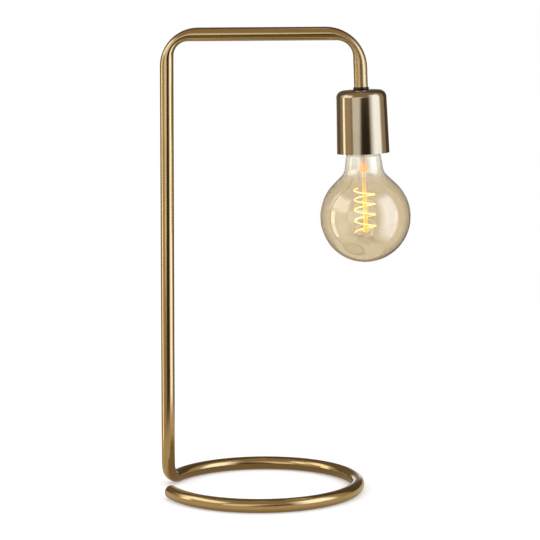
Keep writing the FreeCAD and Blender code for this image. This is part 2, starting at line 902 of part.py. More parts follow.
def make_bulb_rod():
    """The glass rod down the middle of the spiral, with a button at its end."""
    shaft = rod(rod_diameter / 2, press_height, rod_end)
    shape = joined([shaft, Part.makeSphere(rod_button_diameter / 2, Vector(0, 0, rod_end))])
    for hook in hooks():
        shape = shape.cut(hook)
    return shape


# ---------------------------------------------------------------- the spiral and its wires


def spiral_point(turns):
    """The wire's centre after a number of turns from the leftmost point of the first one."""
    height = spiral_top_height - spiral_pitch * turns - spiral_pitch_growth / 2 * turns**2
    return heading(180 + 360 * turns) * spiral_radius + UP * (globe_height + height)


def spiral_along(turns):
    """The wire's direction there."""
    fall = spiral_pitch + spiral_pitch_growth * turns
    around = UP.cross(heading(180 + 360 * turns)) * (2 * math.pi * spiral_radius)
    return unit(around - UP * fall)


def arc_between(start, control, end):
    """The arc that touches both lines from a control point that is equally far from its two ends."""
    chord_middle = (start + end) * 0.5
    half_chord = (end - start).Length / 2
    side = (control - start).Length
    height = (control - chord_middle).Length
    rise = half_chord * (side - half_chord) / height
    middle = chord_middle + (control - chord_middle) * (rise / height)
    return Part.Arc(start, middle, end).toShape()


def two_arcs(start, along, end, end_along):
    """Two arcs in line with each other that join two points along given directions."""
    gap = end - start
    both = along + end_along
    square = 2 * (1 - along.dot(end_along))
    reach = (math.sqrt(gap.dot(both) ** 2 + square * gap.dot(gap)) - gap.dot(both)) / square
    first = start + along * reach
    second = end - end_along * reach
    middle = (first + second) * 0.5
    return [arc_between(start, first, middle), arc_between(middle, second, end)]


def spiral_edges():
    """The spiral's centreline: arcs of a part turn each, with a straight run at both ends."""
    begin = -spiral_lead_in_angle / 360
    steps = round((spiral_turns - begin) * arcs_per_turn)
    stops = [begin + (spiral_turns - begin) * i / steps for i in range(steps + 1)]
    first, last = spiral_point(begin), spiral_point(spiral_turns)
    run_in = Part.LineSegment(first - spiral_along(begin) * spiral_wire, first).toShape()
    run_out = Part.LineSegment(last, last + spiral_along(spiral_turns) * spiral_wire).toShape()
    arcs = []
    for a, b in zip(stops, stops[1:]):
        arcs += two_arcs(spiral_point(a), spiral_along(a), spiral_point(b), spiral_along(b))
    return [run_in] + arcs + [run_out]


def make_bulb_filament():
    """The spiral as one unbroken wire."""
    return wire_along(spiral_edges(), spiral_wire)


def measured_spiral_gap():
    """The least clear distance between turns, on points along the centreline."""
    points = []
    travelled = 0.0
    for edge in spiral_edges():
        count = max(2, round(edge.Length / gap_sample))
        first, last = edge.ParameterRange
        for i in range(count):
            share = i / count
            points.append((travelled + edge.Length * share, edge.valueAt(first + (last - first) * share)))
        travelled += edge.Length
    apart = spiral_radius * math.pi / 2
    pairs = [(p - q).Length for s, p in points for t, q in points if t - s > apart]
    return min(pairs) - spiral_wire


def lead_wires():
    """The two wires from the cap through the stem to the ends of the spiral. Each goes on in line with the
    spiral's own end, so that the two end faces meet square."""
    beside = (stem_tail_diameter / 2 + stem_tube_diameter / 2 - stem_tube_wall) / 2
    left, back = heading(180), heading(90)
    edges = spiral_edges()
    start = edges[0].valueAt(edges[0].FirstParameter)
    end = edges[-1].valueAt(edges[-1].LastParameter)
    run_in = start - spiral_along(-spiral_lead_in_angle / 360) * lead_reach
    run_out = end + spiral_along(spiral_turns) * lead_reach
    side_level = UP * (neck_end_top + lead_side_rise)
    cap_inside = cap_thread_mean - half_depth - metal_sheet - lay_gap
    short = [
        (left * cap_inside + side_level, 0.0),
        (left * beside + side_level, lead_wire_bend),
        (left * beside + UP * press_height, lead_wire_bend),
        (left * short_lead_offset + UP * (globe_height + short_lead_height), lead_wire_bend),
        (run_in, lead_wire_bend),
        (start, 0.0),
    ]
    low = run_out.z - long_lead_drop
    behind = back * long_lead_offset
    long = [
        (UP * insulator_top, 0.0),
        (UP * (tail_top + lead_above_tail), lead_wire_bend),
        (back * beside + UP * tail_top, lead_wire_bend),
        (back * beside + UP * press_height, lead_wire_bend),
        (behind + UP * (globe_height + long_lead_height), lead_wire_bend),
        (behind + UP * low, lead_wire_bend),
        (Vector(run_out.x, run_out.y, low), lead_wire_bend),
        (run_out, lead_wire_bend),
        (end, 0.0),
    ]
    return [wire_along(rounded_path(route), lead_wire) for route in (short, long)]


def make_bulb_lead_wires():
    return Part.makeCompound(lead_wires())


def hooks():
    """Level wires from the rod out to the spiral, stopping just short of it."""
    wires = []
    inner = rod_diameter / 4
    length = spiral_radius - spiral_wire / 2 - lay_gap - inner
    for turns in hook_turns:
        place = spiral_point(turns)
        out = unit(Vector(place.x, place.y, 0))
        wires.append(Part.makeCylinder(hook_wire / 2, length, out * inner + UP * place.z, out))
    return wires


def make_bulb_support_wires():
    return Part.makeCompound(hooks())


# ---------------------------------------------------------------- the insulated wires in the tube


def start_offsets(across):
    """How far off the centreline a wire starts each leg, when it ends the last leg off by a given vector."""
    offsets = []
    for leg in reversed(ROUTE):
        if "axis" in leg:
            across = Rotation(leg["axis"], -leg["angle"]).multVec(across)
        offsets.append(across)
    return offsets[::-1]


def core(side):
    """One insulated wire: from behind the bushing along the whole tube, through the nipple, down to the level
    of its terminal, and there bare under the screw's head and past its shank."""
    radius = core_diameter / 2
    beside = side * (core_diameter + core_gap) / 2
    offsets = start_offsets(holder_place.Rotation.multVec(Vector(0, beside, 0)))
    start_gap = bushing_length + core_start_gap
    end_run = ROUTE[0]
    along = end_run["along"]
    first = straight(end_run["start"] + along * start_gap, along, ring_end_run - start_gap)
    pieces = [leg_solid(leg, radius, offset) for leg, offset in zip([first] + ROUTE[1:], offsets)]

    enters = Vector(0, beside, 0)
    to_screw = terminal_screw_offset - abs(beside)
    passing = (terminal_screw_diameter + conductor_diameter) / 2 + lay_gap
    past = math.sqrt(to_screw**2 - passing**2)
    onward = Vector(passing, side * past, 0) * (1 / to_screw)
    stop = past - conductor_bare_length
    route = [
        (enters + UP * collar_height, 0.0),
        (enters + UP * core_level, core_bend_radius),
        (enters + onward * stop + UP * core_level, 0.0),
    ]
    bare = [
        (enters + onward * (stop - conductor_inside) + UP * core_level, 0.0),
        (enters + onward * (stop + conductor_step / 2) + UP * core_level, conductor_bend),
        (enters + onward * (stop + conductor_step) + UP * conductor_level, conductor_bend),
        (enters + onward * (past + terminal_screw_diameter / 2) + UP * conductor_level, 0.0),
    ]
    jacket = wire_along(rounded_path(route), core_diameter)
    conductor = wire_along(rounded_path(bare), conductor_diameter)
    pieces.append(seated(joined([jacket, conductor])))
    return joined(pieces)


def make_lead_live():
    return core(-1)


def make_lead_neutral():
    return core(1)


# ---------------------------------------------------------------- placing and writing


def seated(shape):
    """A shape from the holder's own axis, placed on the end of the drop."""
    placed = shape.copy()
    placed.Placement = holder_place.multiply(placed.Placement)
    return placed


IN_PLACE = {
    "stem_tube": make_stem_tube,
    "tube_end_bushing": make_tube_end_bushing,
    "lead_live": make_lead_live,
    "lead_neutral": make_lead_neutral,
}
IN_HOLDER = {
    "tube_insert": make_tube_insert,
    "threaded_nipple": make_threaded_nipple,
    "collar_ring": make_collar_ring,
    "socket_cup": make_socket_cup,
    "cup_washer": make_cup_washer,
    "cup_lock_washer": make_cup_lock_washer,
    "cup_nut": make_cup_nut,
    "holder_cap": make_holder_cap,
    "holder_set_screw": make_holder_set_screw,
    "holder_body": make_holder_body,
    "holder_screws": make_holder_screws,
    "terminal_plate_live": make_terminal_plate_live,
    "terminal_plate_neutral": make_terminal_plate_neutral,
    "terminal_screws": make_terminal_screws,
    "shell_rivets": make_shell_rivets,
    "contact_rivet": make_contact_rivet,
    "centre_contact": make_centre_contact,
    "screw_shell": make_screw_shell,
    "bulb_cap": make_bulb_cap,
    "bulb_insulator": make_bulb_insulator,
    "bulb_contact": make_bulb_contact,
    "bulb_cement": make_bulb_cement,
    "bulb_glass": make_bulb_glass,
    "bulb_stem": make_bulb_stem,
    "bulb_rod": make_bulb_rod,
    "bulb_support_wires": make_bulb_support_wires,
    "bulb_lead_wires": make_bulb_lead_wires,
    "bulb_filament": make_bulb_filament,
}

os.makedirs("parts", exist_ok=True)
nodes = {name: make() for name, make in IN_PLACE.items()}
nodes.update({name: seated(make()) for name, make in IN_HOLDER.items()})
for name, shape in nodes.items():
    shape.exportStep(f"parts/{name}.step")
    state = "sound" if shape.isValid() else "NOT VALID"
    print(f"{name}: {len(shape.Solids)} solid(s), {shape.Volume:.1f} cubic mm, {state}")

gap = measured_spiral_gap()
print(f"tube centreline: {route_length(ROUTE):.1f} mm")
print(f"least gap of the spiral to itself: {gap:.2f} mm (wanted: over {least_spiral_gap})")
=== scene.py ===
# %% [markdown]
# # A bare bulb table lamp
#
# The lamp is one bent tube in an aged, brushed brass, a metal cup over the holder and a large tinted globe bulb
# with a glowing spiral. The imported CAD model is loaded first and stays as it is: it says where everything goes.
# Each step then either gives a CAD part a finish or puts a finer piece of our own in its place.
#
# Blender works in metres, and a lamp is easier to think about in millimetres, so every size below is written in
# millimetres and multiplied by `mm`.

# %% Load the frame
import math

import bmesh
import bpy
from mathutils import Matrix, Quaternion, Vector


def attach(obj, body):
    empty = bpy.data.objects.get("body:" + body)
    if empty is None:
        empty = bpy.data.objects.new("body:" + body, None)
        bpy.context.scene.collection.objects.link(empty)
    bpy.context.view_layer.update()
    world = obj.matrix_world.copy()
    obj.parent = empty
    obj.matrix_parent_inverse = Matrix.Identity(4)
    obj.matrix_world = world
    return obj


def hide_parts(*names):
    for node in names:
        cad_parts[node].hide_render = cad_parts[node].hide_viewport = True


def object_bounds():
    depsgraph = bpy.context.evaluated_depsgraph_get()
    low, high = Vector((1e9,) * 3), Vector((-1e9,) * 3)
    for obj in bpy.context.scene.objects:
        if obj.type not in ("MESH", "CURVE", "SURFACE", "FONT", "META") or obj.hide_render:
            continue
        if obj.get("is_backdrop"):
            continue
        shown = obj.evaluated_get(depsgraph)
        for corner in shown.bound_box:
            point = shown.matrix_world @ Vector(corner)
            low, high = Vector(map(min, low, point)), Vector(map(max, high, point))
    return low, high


mm = 0.001
up = Vector((0, 0, 1))
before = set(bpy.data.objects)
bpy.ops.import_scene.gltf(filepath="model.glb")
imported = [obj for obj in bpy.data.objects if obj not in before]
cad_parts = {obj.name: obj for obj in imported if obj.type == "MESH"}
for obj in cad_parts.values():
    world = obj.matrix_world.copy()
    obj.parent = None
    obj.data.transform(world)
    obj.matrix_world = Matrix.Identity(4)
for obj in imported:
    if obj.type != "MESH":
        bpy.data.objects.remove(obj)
cad_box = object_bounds()

# %% [markdown]
# ## Camera
#
# A camera can be placed by eye, by an empty that it tracks, or from measured numbers. Here the photograph's
# straight tubes and round ring gave the numbers: a long lens from nearly two metres away, a little above the
# table and looking slightly down. The three turns are built into one matrix, because a tracked camera would lose
# the small roll.

# %% Place the camera
camera_place = Vector((0.0, -1.88741, 0.44214))
camera_down, camera_right, camera_roll = 0.1288, 0.0045, -0.0079
lens_in_pixels, picture_width, sensor_width = 2162.72, 540, 36.0


def camera_turn(down, right, roll):
    """The camera's axes as a matrix: right, up and backwards."""
    level_right = Vector((math.cos(right), -math.sin(right), 0))
    level_ahead = Vector((math.sin(right), math.cos(right), 0))
    ahead = level_ahead * math.cos(down) - up * math.sin(down)
    over = level_ahead * math.sin(down) + up * math.cos(down)
    side = level_right * math.cos(roll) + over * math.sin(roll)
    top = over * math.cos(roll) - level_right * math.sin(roll)
    return Matrix((side, top, -ahead)).transposed()


camera_data = bpy.data.cameras.new("camera")
camera_data.sensor_width = sensor_width
camera_data.lens = lens_in_pixels / picture_width * sensor_width
camera = bpy.data.objects.new("camera", camera_data)
camera.matrix_world = Matrix.Translation(camera_place) @ camera_turn(camera_down, camera_right, camera_roll).to_4x4()
bpy.context.collection.objects.link(camera)
bpy.context.scene.camera = camera
print("lens:", round(camera_data.lens, 1), "mm")

# %% [markdown]
# ## Mesh helpers
#
# Two shapes make almost everything here: a turned piece, whose outline goes round an axis as on a lathe, and a
# tube, whose circle follows a path. Blender's Screw modifier and a bevelled curve could do both. Plain mesh code
# is used instead, because it lets each point remember its place on the unrolled surface: how far round it is
# and how far along. The brushing of the metal is drawn in that place, so it follows every bend.

# %% Make a mesh piece
same_point = 1e-7


def make_piece(name, points, faces, places, body, sharp_angle=40.0):
    """A mesh piece that rides on a body. places holds each point's place on the unrolled surface."""
    mesh = bpy.data.meshes.new(name)
    mesh.from_pydata(points, [], faces)
    unrolled = mesh.attributes.new("surface_place", "FLOAT_VECTOR", "POINT")
    unrolled.data.foreach_set("vector", [number for place in places for number in place])
    tidy = bmesh.new()
    tidy.from_mesh(mesh)
    bmesh.ops.remove_doubles(tidy, verts=tidy.verts, dist=same_point)
    bmesh.ops.recalc_face_normals(tidy, faces=tidy.faces)
    tidy.to_mesh(mesh)
    tidy.free()
    mesh.polygons.foreach_set("use_smooth", [True] * len(mesh.polygons))
    mesh.set_sharp_from_angle(angle=math.radians(sharp_angle))
    piece = bpy.data.objects.new(name, mesh)
    bpy.context.collection.objects.link(piece)
    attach(piece, body)
    print(name, len(mesh.vertices), "points")
    return piece


def strip_faces(rows, around, closed=False):
    """Quads between rows of points, each row a closed loop."""
    faces = []
    for row in range(rows if closed else rows - 1):
        here, there = row * around, (row + 1) % rows * around
        for i in range(around):
            j = (i + 1) % around
            faces.append((here + i, here + j, there + j, there + i))
    return faces


# %% Turn an outline round an axis
def rounded(corners, steps=8):
    """An open outline from (radius, height, rounding) corners, in millimetres, with its corners rounded off."""
    outline = [Vector(corners[0][:2])]
    for before, corner, after in zip(corners, corners[1:], corners[2:]):
        place, rounding = Vector(corner[:2]), corner[2]
        back = (Vector(before[:2]) - place).normalized()
        onward = (Vector(after[:2]) - place).normalized()
        half = back.angle(onward) / 2
        if not rounding:
            outline.append(place)
            continue
        centre = place + (back + onward).normalized() * (rounding / math.sin(half))
        start = place + back * (rounding / math.tan(half)) - centre
        end = place + onward * (rounding / math.tan(half)) - centre
        sweep = start.angle_signed(end)
        for step in range(steps + 1):
            turn = Matrix.Rotation(-sweep * step / steps, 2)
            outline.append(centre + turn @ start)
    outline.append(Vector(corners[-1][:2]))
    return outline


def moved_in(outline, distance):
    """The same open outline, moved to its right by a distance: the inside of a wall."""
    moved = []
    for i, point in enumerate(outline):
        before = outline[max(i - 1, 0)]
        after = outline[min(i + 1, len(outline) - 1)]
        along = (after - before).normalized()
        moved.append(point + Vector((along.y, -along.x)) * distance)
    return moved


def turned_piece(name, outline, axis_place, body, around=128, sharp_angle=40.0):
    """A piece turned from a closed outline of (radius, height) points, in millimetres, about the placed axis."""
    points, places = [], []
    travelled = 0.0
    for i, point in enumerate(outline):
        travelled += (point - outline[i - 1]).length if i else 0.0
        for step in range(around):
            angle = 2 * math.pi * step / around
            out = Vector((math.cos(angle), math.sin(angle), 0)) * point.x
            points.append(axis_place @ ((out + up * point.y) * mm))
            places.append((out.x * mm, out.y * mm, travelled * mm))
    faces = strip_faces(len(outline), around, closed=True)
    return make_piece(name, points, faces, places, body, sharp_angle)


# %% [markdown]
# ## The tube's path
#
# The tube is bent from one length: a short straight run at the free end, the ring on the table, the foot bend,
# the upright, the top bend, the arm, the last bend and the drop. Each part of the path is either a straight run
# or a bend about an axis, and the sizes are those of the CAD model.
#
# A tube that is bent without a filling gets thinner in the bend: its outer edge cuts the corner in a wide arc,
# and its inner edge is tight. Each bend says how large those two arcs are, and the section is fitted between
# them.

# %% Sizes of the tube
tube_radius, tube_wall, skin_inside_box = 6.0, 1.0, 0.015
bend_width = 1.05
foot_edge_arcs, top_edge_arcs, drop_edge_arcs = (27.0, 6.5), (34.0, 13.0), (36.5, 14.5)
ring_radius, ring_start, ring_foot, ring_end_run = 85.0, -155.0, 157.4, 7.0
foot_bend_radius, top_bend_radius, drop_bend_radius = 15.0, 23.5, 25.5
upright_lean, arm_height, arm_reach, arm_azimuth = -0.55, 404.0, 168.7, -3.7
drop_length, drop_lean, collar_height = 46.7, 1.75, 2.2


# %% Legs of the path
def level(angle):
    """The level direction at an angle from +X."""
    return Vector((math.cos(math.radians(angle)), math.sin(math.radians(angle)), 0))


def straight_leg(start, along, length):
    """A straight run from a point."""
    return {"start": start, "along": along, "length": length}


def bent_leg(start, along, new_along, radius, angle=None, edge_arcs=None):
    """A bend from one direction to another, or on through a stated angle."""
    axis = along.cross(new_along).normalized()
    centre = start + axis.cross(along) * radius
    angle = angle if angle else along.angle(new_along)
    return {"start": start, "along": along, "axis": axis, "centre": centre, "angle": angle, "radius": radius,
            "length": angle * radius, "edge_arcs": edge_arcs}


def carried(leg, vector, share=1.0):
    """A direction after a share of a leg: a bend turns it."""
    if "axis" not in leg:
        return vector.copy()
    return Quaternion(leg["axis"], leg["angle"] * share) @ vector


def point_on(leg, share=1.0):
    """The point on the centreline after a share of a leg."""
    if "axis" not in leg:
        return leg["start"] + leg["along"] * (leg["length"] * share)
    return leg["centre"] + carried(leg, leg["start"] - leg["centre"], share)


def corner_setback(along, new_along, radius):
    """How far before its corner a bend starts."""
    return radius * math.tan(along.angle(new_along) / 2)


# %% Lay the legs end to end
out = level(ring_start)
ring_along = up.cross(out)
ring_begin = out * ring_radius + up * tube_radius
end_run = straight_leg(ring_begin - ring_along * ring_end_run, ring_along, ring_end_run)
ring_turn = math.radians((ring_foot - ring_start) % 360)
base = bent_leg(ring_begin, ring_along, -out, ring_radius, ring_turn)

lean = math.radians(upright_lean)
rising = Vector((-math.sin(lean), 0, math.cos(lean)))
foot = bent_leg(point_on(base), carried(base, ring_along), rising, foot_bend_radius, edge_arcs=foot_edge_arcs)

arm_along = level(arm_azimuth)
drop_along = arm_along * math.sin(math.radians(drop_lean)) - up * math.cos(math.radians(drop_lean))
top_setback = corner_setback(rising, arm_along, top_bend_radius)
drop_setback = corner_setback(arm_along, drop_along, drop_bend_radius)
foot_end = point_on(foot)
upright = straight_leg(foot_end, rising, (arm_height - foot_end.z) / rising.z - top_setback)
top_bend = bent_leg(point_on(upright), rising, arm_along, top_bend_radius, edge_arcs=top_edge_arcs)
arm = straight_leg(point_on(top_bend), arm_along, arm_reach - top_setback - drop_setback)
last_bend = bent_leg(point_on(arm), arm_along, drop_along, drop_bend_radius, edge_arcs=drop_edge_arcs)
drop = straight_leg(point_on(last_bend), drop_along, drop_length - drop_setback)
tube_legs = [end_run, base, foot, upright, top_bend, arm, last_bend, drop]

cup_seat = point_on(drop) + drop_along * collar_height
holder_axis = Matrix.Translation(cup_seat * mm) @ up.rotation_difference(-drop_along).to_matrix().to_4x4()
print("tube centreline:", round(sum(leg["length"] for leg in tube_legs), 1), "mm")

# %% [markdown]
# ## The tube
#
# A round section is set at many stations along the path and joined to the next. The section is carried from
# station to station without twist, so the brushed lines run straight along the whole tube. The wall is real at
# both ends: the surface turns in at the free end, where one looks into it, and at the drop.

# %% Edges of a bend
def bend_edges(leg, turn):
    """How far a bend's outer and inner edges are from the centreline, at an angle from its middle."""
    outer_arc, inner_arc = leg["edge_arcs"]
    half = leg["angle"] / 2
    outer_line, inner_line = leg["radius"] + tube_radius, leg["radius"] - tube_radius
    shift = (outer_arc - outer_line) / math.cos(half)
    outer = math.sqrt(outer_arc**2 - (shift * math.sin(turn)) ** 2) - shift * math.cos(turn)
    shift = (inner_line - inner_arc) / math.cos(half)
    inner = inner_line / math.cos(half - abs(turn))
    if abs(turn) < half - math.atan(shift * math.sin(half) / inner_line):
        inner = math.sqrt(inner_arc**2 - (shift * math.sin(turn)) ** 2) + shift * math.cos(turn)
    return outer - leg["radius"], leg["radius"] - inner


def run_edge(leg, distance):
    """How far the edge of a straight run is from its centreline, at a distance from the bend beside it."""
    outer_arc = leg["edge_arcs"][0]
    reach = (outer_arc - leg["radius"] - tube_radius) * math.tan(leg["angle"] / 2)
    into = max(0.0, reach - distance)
    return tube_radius - (outer_arc - math.sqrt(outer_arc**2 - into**2))


def squeezes(legs, number, share):
    """What squeezes the section there: directions, and how much of the radius is left towards each."""
    leg = legs[number]
    found = []
    if leg.get("edge_arcs"):
        outward = (point_on(leg, share) - leg["centre"]).normalized()
        outer, inner = bend_edges(leg, leg["angle"] * (share - 0.5))
        found += [(outward, outer / tube_radius), (-outward, inner / tube_radius)]
        wide = 1 + (bend_width - 1) * math.sin(math.pi * share) ** 2
        found += [(leg["axis"], wide), (-leg["axis"], wide)]
    else:
        for beside, distance, end in ((number - 1, share, 1.0), (number + 1, 1 - share, 0.0)):
            if 0 <= beside < len(legs) and legs[beside].get("edge_arcs"):
                outward = (point_on(legs[beside], end) - legs[beside]["centre"]).normalized()
                found.append((outward, run_edge(legs[beside], distance * leg["length"]) / tube_radius))
    return found


# %% Sweep the tube
bend_step, run_step = 2, 3


def stations_of(leg):
    """How many stations a leg gets: one every two degrees or so in a bend, and one every 3 mm in a run."""
    return max(2, round(math.degrees(leg["angle"]) / bend_step if "axis" in leg else leg["length"] / run_step))


def section_points(legs, number, share, across, radius, around):
    """The points of the section there, round, or squeezed in and beside a bend."""
    leg = legs[number]
    place = point_on(leg, share)
    first = carried(leg, across, share)
    second = carried(leg, leg["along"], share).cross(first)
    pressed = squeezes(legs, number, share)
    points = []
    for step in range(around):
        angle = 2 * math.pi * step / around
        spoke = first * math.cos(angle) + second * math.sin(angle)
        for direction, left in pressed:
            spoke += direction * (max(0.0, spoke.dot(direction)) * (left - 1))
        points.append((place + spoke * radius) * mm)
    return points


def tube_rows(legs, across, radius, around):
    """Rows of section points along the legs, and how far along each row is."""
    rows, distances, travelled = [], [], 0.0
    for number, leg in enumerate(legs):
        count = stations_of(leg)
        for i in range(0 if not rows else 1, count + 1):
            rows.append(section_points(legs, number, i / count, across, radius, around))
            distances.append(travelled + leg["length"] * i / count)
        across = carried(leg, across)
        travelled += leg["length"]
    return rows, distances


tube_around = 64
first_across = up.copy()
outer_rows, distances = tube_rows(tube_legs, first_across, tube_radius - skin_inside_box, tube_around)
mouth_depth = 7.0
mouth = straight_leg(end_run["start"], end_run["along"], mouth_depth)
last_across = first_across
for leg in tube_legs[:-1]:
    last_across = carried(leg, last_across)
outlet = straight_leg(point_on(drop) - drop_along * mouth_depth, drop_along, mouth_depth)
mouth_rows = tube_rows([mouth], first_across, tube_radius - tube_wall, tube_around)[0]
outlet_rows = tube_rows([outlet], last_across, tube_radius - tube_wall, tube_around)[0]
rows = mouth_rows[::-1] + outer_rows + outlet_rows[::-1]
travel = [-mouth_depth] * len(mouth_rows) + distances + [distances[-1] + mouth_depth] * len(outlet_rows)
points, places = [], []
for row, distance in zip(rows, travel):
    for step, point in enumerate(row):
        angle = 2 * math.pi * step / tube_around
        points.append(point)
        places.append((tube_radius * math.cos(angle) * mm, tube_radius * math.sin(angle) * mm, distance * mm))
tube = make_piece("bent_tube", points, strip_faces(len(rows), tube_around), places, "lamp")
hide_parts("stem_tube")

# %% [markdown]
# ## The bushing in the free end
#
# The supply cord would enter here. The photograph shows a thin end piece with a dark groove behind it, so the
# bushing is turned with a flange, a narrower neck and a shank inside the tube.

# %% Turn the bushing
bushing_axis = Matrix.Translation(end_run["start"] * mm)
bushing_axis = bushing_axis @ up.rotation_difference(-end_run["along"]).to_matrix().to_4x4()
shank, shank_length, groove, flange, flange_radius, cord_bore = 4.9, 4.0, 0.6, 1.4, 5.2, 3.1
sliver = 0.02
bushing_outline = rounded([
    (cord_bore, -shank_length, 0), (shank, -shank_length, 0.3), (shank, 0.0, 0),
    (shank - groove, sliver, 0), (shank - groove, groove, 0),
    (flange_radius, groove, 0.25), (flange_radius, groove + flange, 0.5), (cord_bore, groove + flange, 0.6),
    (cord_bore, 0.5 - shank_length, 0),
])
bushing = turned_piece("end_bushing", bushing_outline, bushing_axis, "lamp", around=64)
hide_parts("tube_end_bushing")

# %% [markdown]
# ## Collar and cup
#
# The black collar is a small ring with soft edges. The cup is spun from sheet metal: a flat land under the
# collar, a low dome, a round corner and a wall that widens a little to the rim. Its outline is drawn once, and
# the inside is the same outline moved in by the sheet's thickness, so the wall is even all over.

# %% Turn the collar and the cup
seat_bore, collar_radius, collar_rounding = 4.3, 6.9, 0.9
collar_outline = rounded([
    (seat_bore, 0.0, 0), (seat_bore, collar_height, 0.2), (collar_radius, collar_height, collar_rounding),
    (collar_radius, 0.0, collar_rounding), (seat_bore + sliver, 0.0, 0),
])
collar = turned_piece("black_collar", collar_outline, holder_axis, "lamp", around=64)
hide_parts("collar_ring")

cup_wall, cup_height = 0.9, 55.5
land_radius, land_rounding = 8.5, 2.0
corner_radius, corner_drop, corner_rounding, rim_radius = 21.9, 0.8, 6.5, 23.2
cup_outside = rounded([
    (seat_bore, 0.0, 0), (land_radius, 0.0, land_rounding), (corner_radius, -corner_drop, corner_rounding),
    (rim_radius, -cup_height, 0),
], steps=16)
cup_inside = moved_in(cup_outside, cup_wall)
cup_inside[0].x = cup_outside[0].x
cup_inside[-1].y = cup_outside[-1].y
rim_middle = (cup_outside[-1] + cup_inside[-1]) / 2
cup = turned_piece("spun_cup", cup_outside + [rim_middle] + cup_inside[::-1], holder_axis, "lamp", around=160)
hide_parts("socket_cup")

# %% [markdown]
# ## The globe
#
# The bulb is blown glass with a thin, even wall, so it needs an outer and an inner surface: light bends at both,
# which is what draws the darker rim and the second, upside-down reflection of the lights. A single surface
# would turn the bulb into a solid glass ball.

# %% Blow the globe
globe_radius, glass_wall = 40.0, 0.7
globe_below_rim = 56.3
globe_height = -cup_height - globe_below_rim
neck_end_bottom, neck_end_top, neck_top = -49.8, -42.8, -57.5
neck_end_radius, neck_radius, neck_rounding, shoulder_fillet = 11.1, 15.4, 8.0, 14.0
shoulder, neck_taper = math.radians(45.5), math.radians(7.2)


def lines_cross(place, along, other, other_along):
    """Where two lines of the outline cross."""
    gap = other - place
    across = along.x * other_along.y - along.y * other_along.x
    return place + along * ((gap.x * other_along.y - gap.y * other_along.x) / across)


leaves = Vector((math.cos(shoulder), math.sin(shoulder))) * globe_radius + Vector((0, globe_height))
shoulder_along = Vector((-math.sin(shoulder), math.cos(shoulder)))
neck_side = Vector((math.sin(neck_taper), -math.cos(neck_taper)))
foot_of_neck = lines_cross(leaves, shoulder_along, Vector((neck_radius, neck_top)), neck_side)
globe_outside = rounded([
    (neck_end_radius, neck_end_top, 0), (neck_end_radius, neck_end_bottom, neck_rounding / 4),
    (neck_radius, neck_top, neck_rounding), (foot_of_neck.x, foot_of_neck.y, shoulder_fillet),
    (leaves.x, leaves.y, 0),
], steps=14)
globe_steps = 72
for step in range(1, globe_steps + 1):
    angle = shoulder - (shoulder + math.pi / 2) * step / globe_steps
    globe_outside.append(Vector((math.cos(angle) * globe_radius, globe_height + math.sin(angle) * globe_radius)))
globe_outside[-1].x = 0.0
globe_inside = moved_in(globe_outside, glass_wall)
globe_inside[-1] = Vector((0, globe_height - globe_radius + glass_wall))
globe = turned_piece(
    "globe_glass", globe_outside + globe_inside[::-1], holder_axis, "bulb", around=160, sharp_angle=60)
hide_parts("bulb_glass")

# %% [markdown]
# ## Shader building blocks
#
# Nodes can be wired by hand or made in code. One small function makes a node, sets it and links it, which keeps
# each material readable. Effects that several materials share are node groups with named inputs: the drawn grain
# of brushed metal, soft patches of age, and small pits. A group only gives masks. The shader itself stays in
# each material.

# %% A node and its links
def add_node(tree, kind, inputs=None, **settings):
    """A new node. inputs maps a socket's name or number to a value, or to an output that is linked to it."""
    node = tree.nodes.new(kind)
    for setting, value in settings.items():
        setattr(node, setting, value)
    for socket, value in (inputs or {}).items():
        if isinstance(value, bpy.types.NodeSocket):
            tree.links.new(value, node.inputs[socket])
        else:
            node.inputs[socket].default_value = value
    return node


def blend_colours(tree, mask, first, second):
    """One colour where the mask is 0 and the other where it is 1."""
    return add_node(tree, "ShaderNodeMix", {0: mask, 6: first, 7: second}, data_type="RGBA").outputs[2]


def remapped(tree, value, low, high, new_low, new_high):
    """A value stretched from one range to another and kept inside it."""
    inputs = {"Value": value, "From Min": low, "From Max": high, "To Min": new_low, "To Max": new_high}
    return add_node(tree, "ShaderNodeMapRange", inputs).outputs[0]


def maths(tree, operation, first, second):
    return add_node(tree, "ShaderNodeMath", {0: first, 1: second}, operation=operation).outputs[0]


def open_group(name, inputs, output):
    """An empty node group with a vector place, named numbers and one mask out."""
    tree = bpy.data.node_groups.new(name, "ShaderNodeTree")
    tree.interface.new_socket("Place", in_out="INPUT", socket_type="NodeSocketVector")
    for socket_name, value in inputs.items():
        socket = tree.interface.new_socket(socket_name, in_out="INPUT", socket_type="NodeSocketFloat")
        socket.default_value = value
    tree.interface.new_socket(output, in_out="OUTPUT", socket_type="NodeSocketFloat")
    return tree, tree.nodes.new("NodeGroupInput").outputs, tree.nodes.new("NodeGroupOutput").inputs


# %% Drawn grain
tree, given, result = open_group("drawn grain", {"Lines across": 900.0, "Lines along": 12.0}, "Grain")
stretch = add_node(
    tree, "ShaderNodeCombineXYZ", {0: given["Lines across"], 1: given["Lines across"], 2: given["Lines along"]})
stretched = add_node(tree, "ShaderNodeVectorMath", {0: given["Place"], 1: stretch.outputs[0]}, operation="MULTIPLY")
lines = add_node(
    tree, "ShaderNodeTexNoise", {"Vector": stretched.outputs[0], "Scale": 1.0, "Detail": 3.0, "Roughness": 0.6})
tree.links.new(remapped(tree, lines.outputs[0], 0.3, 0.7, 0.0, 1.0), result["Grain"])
drawn_grain = tree

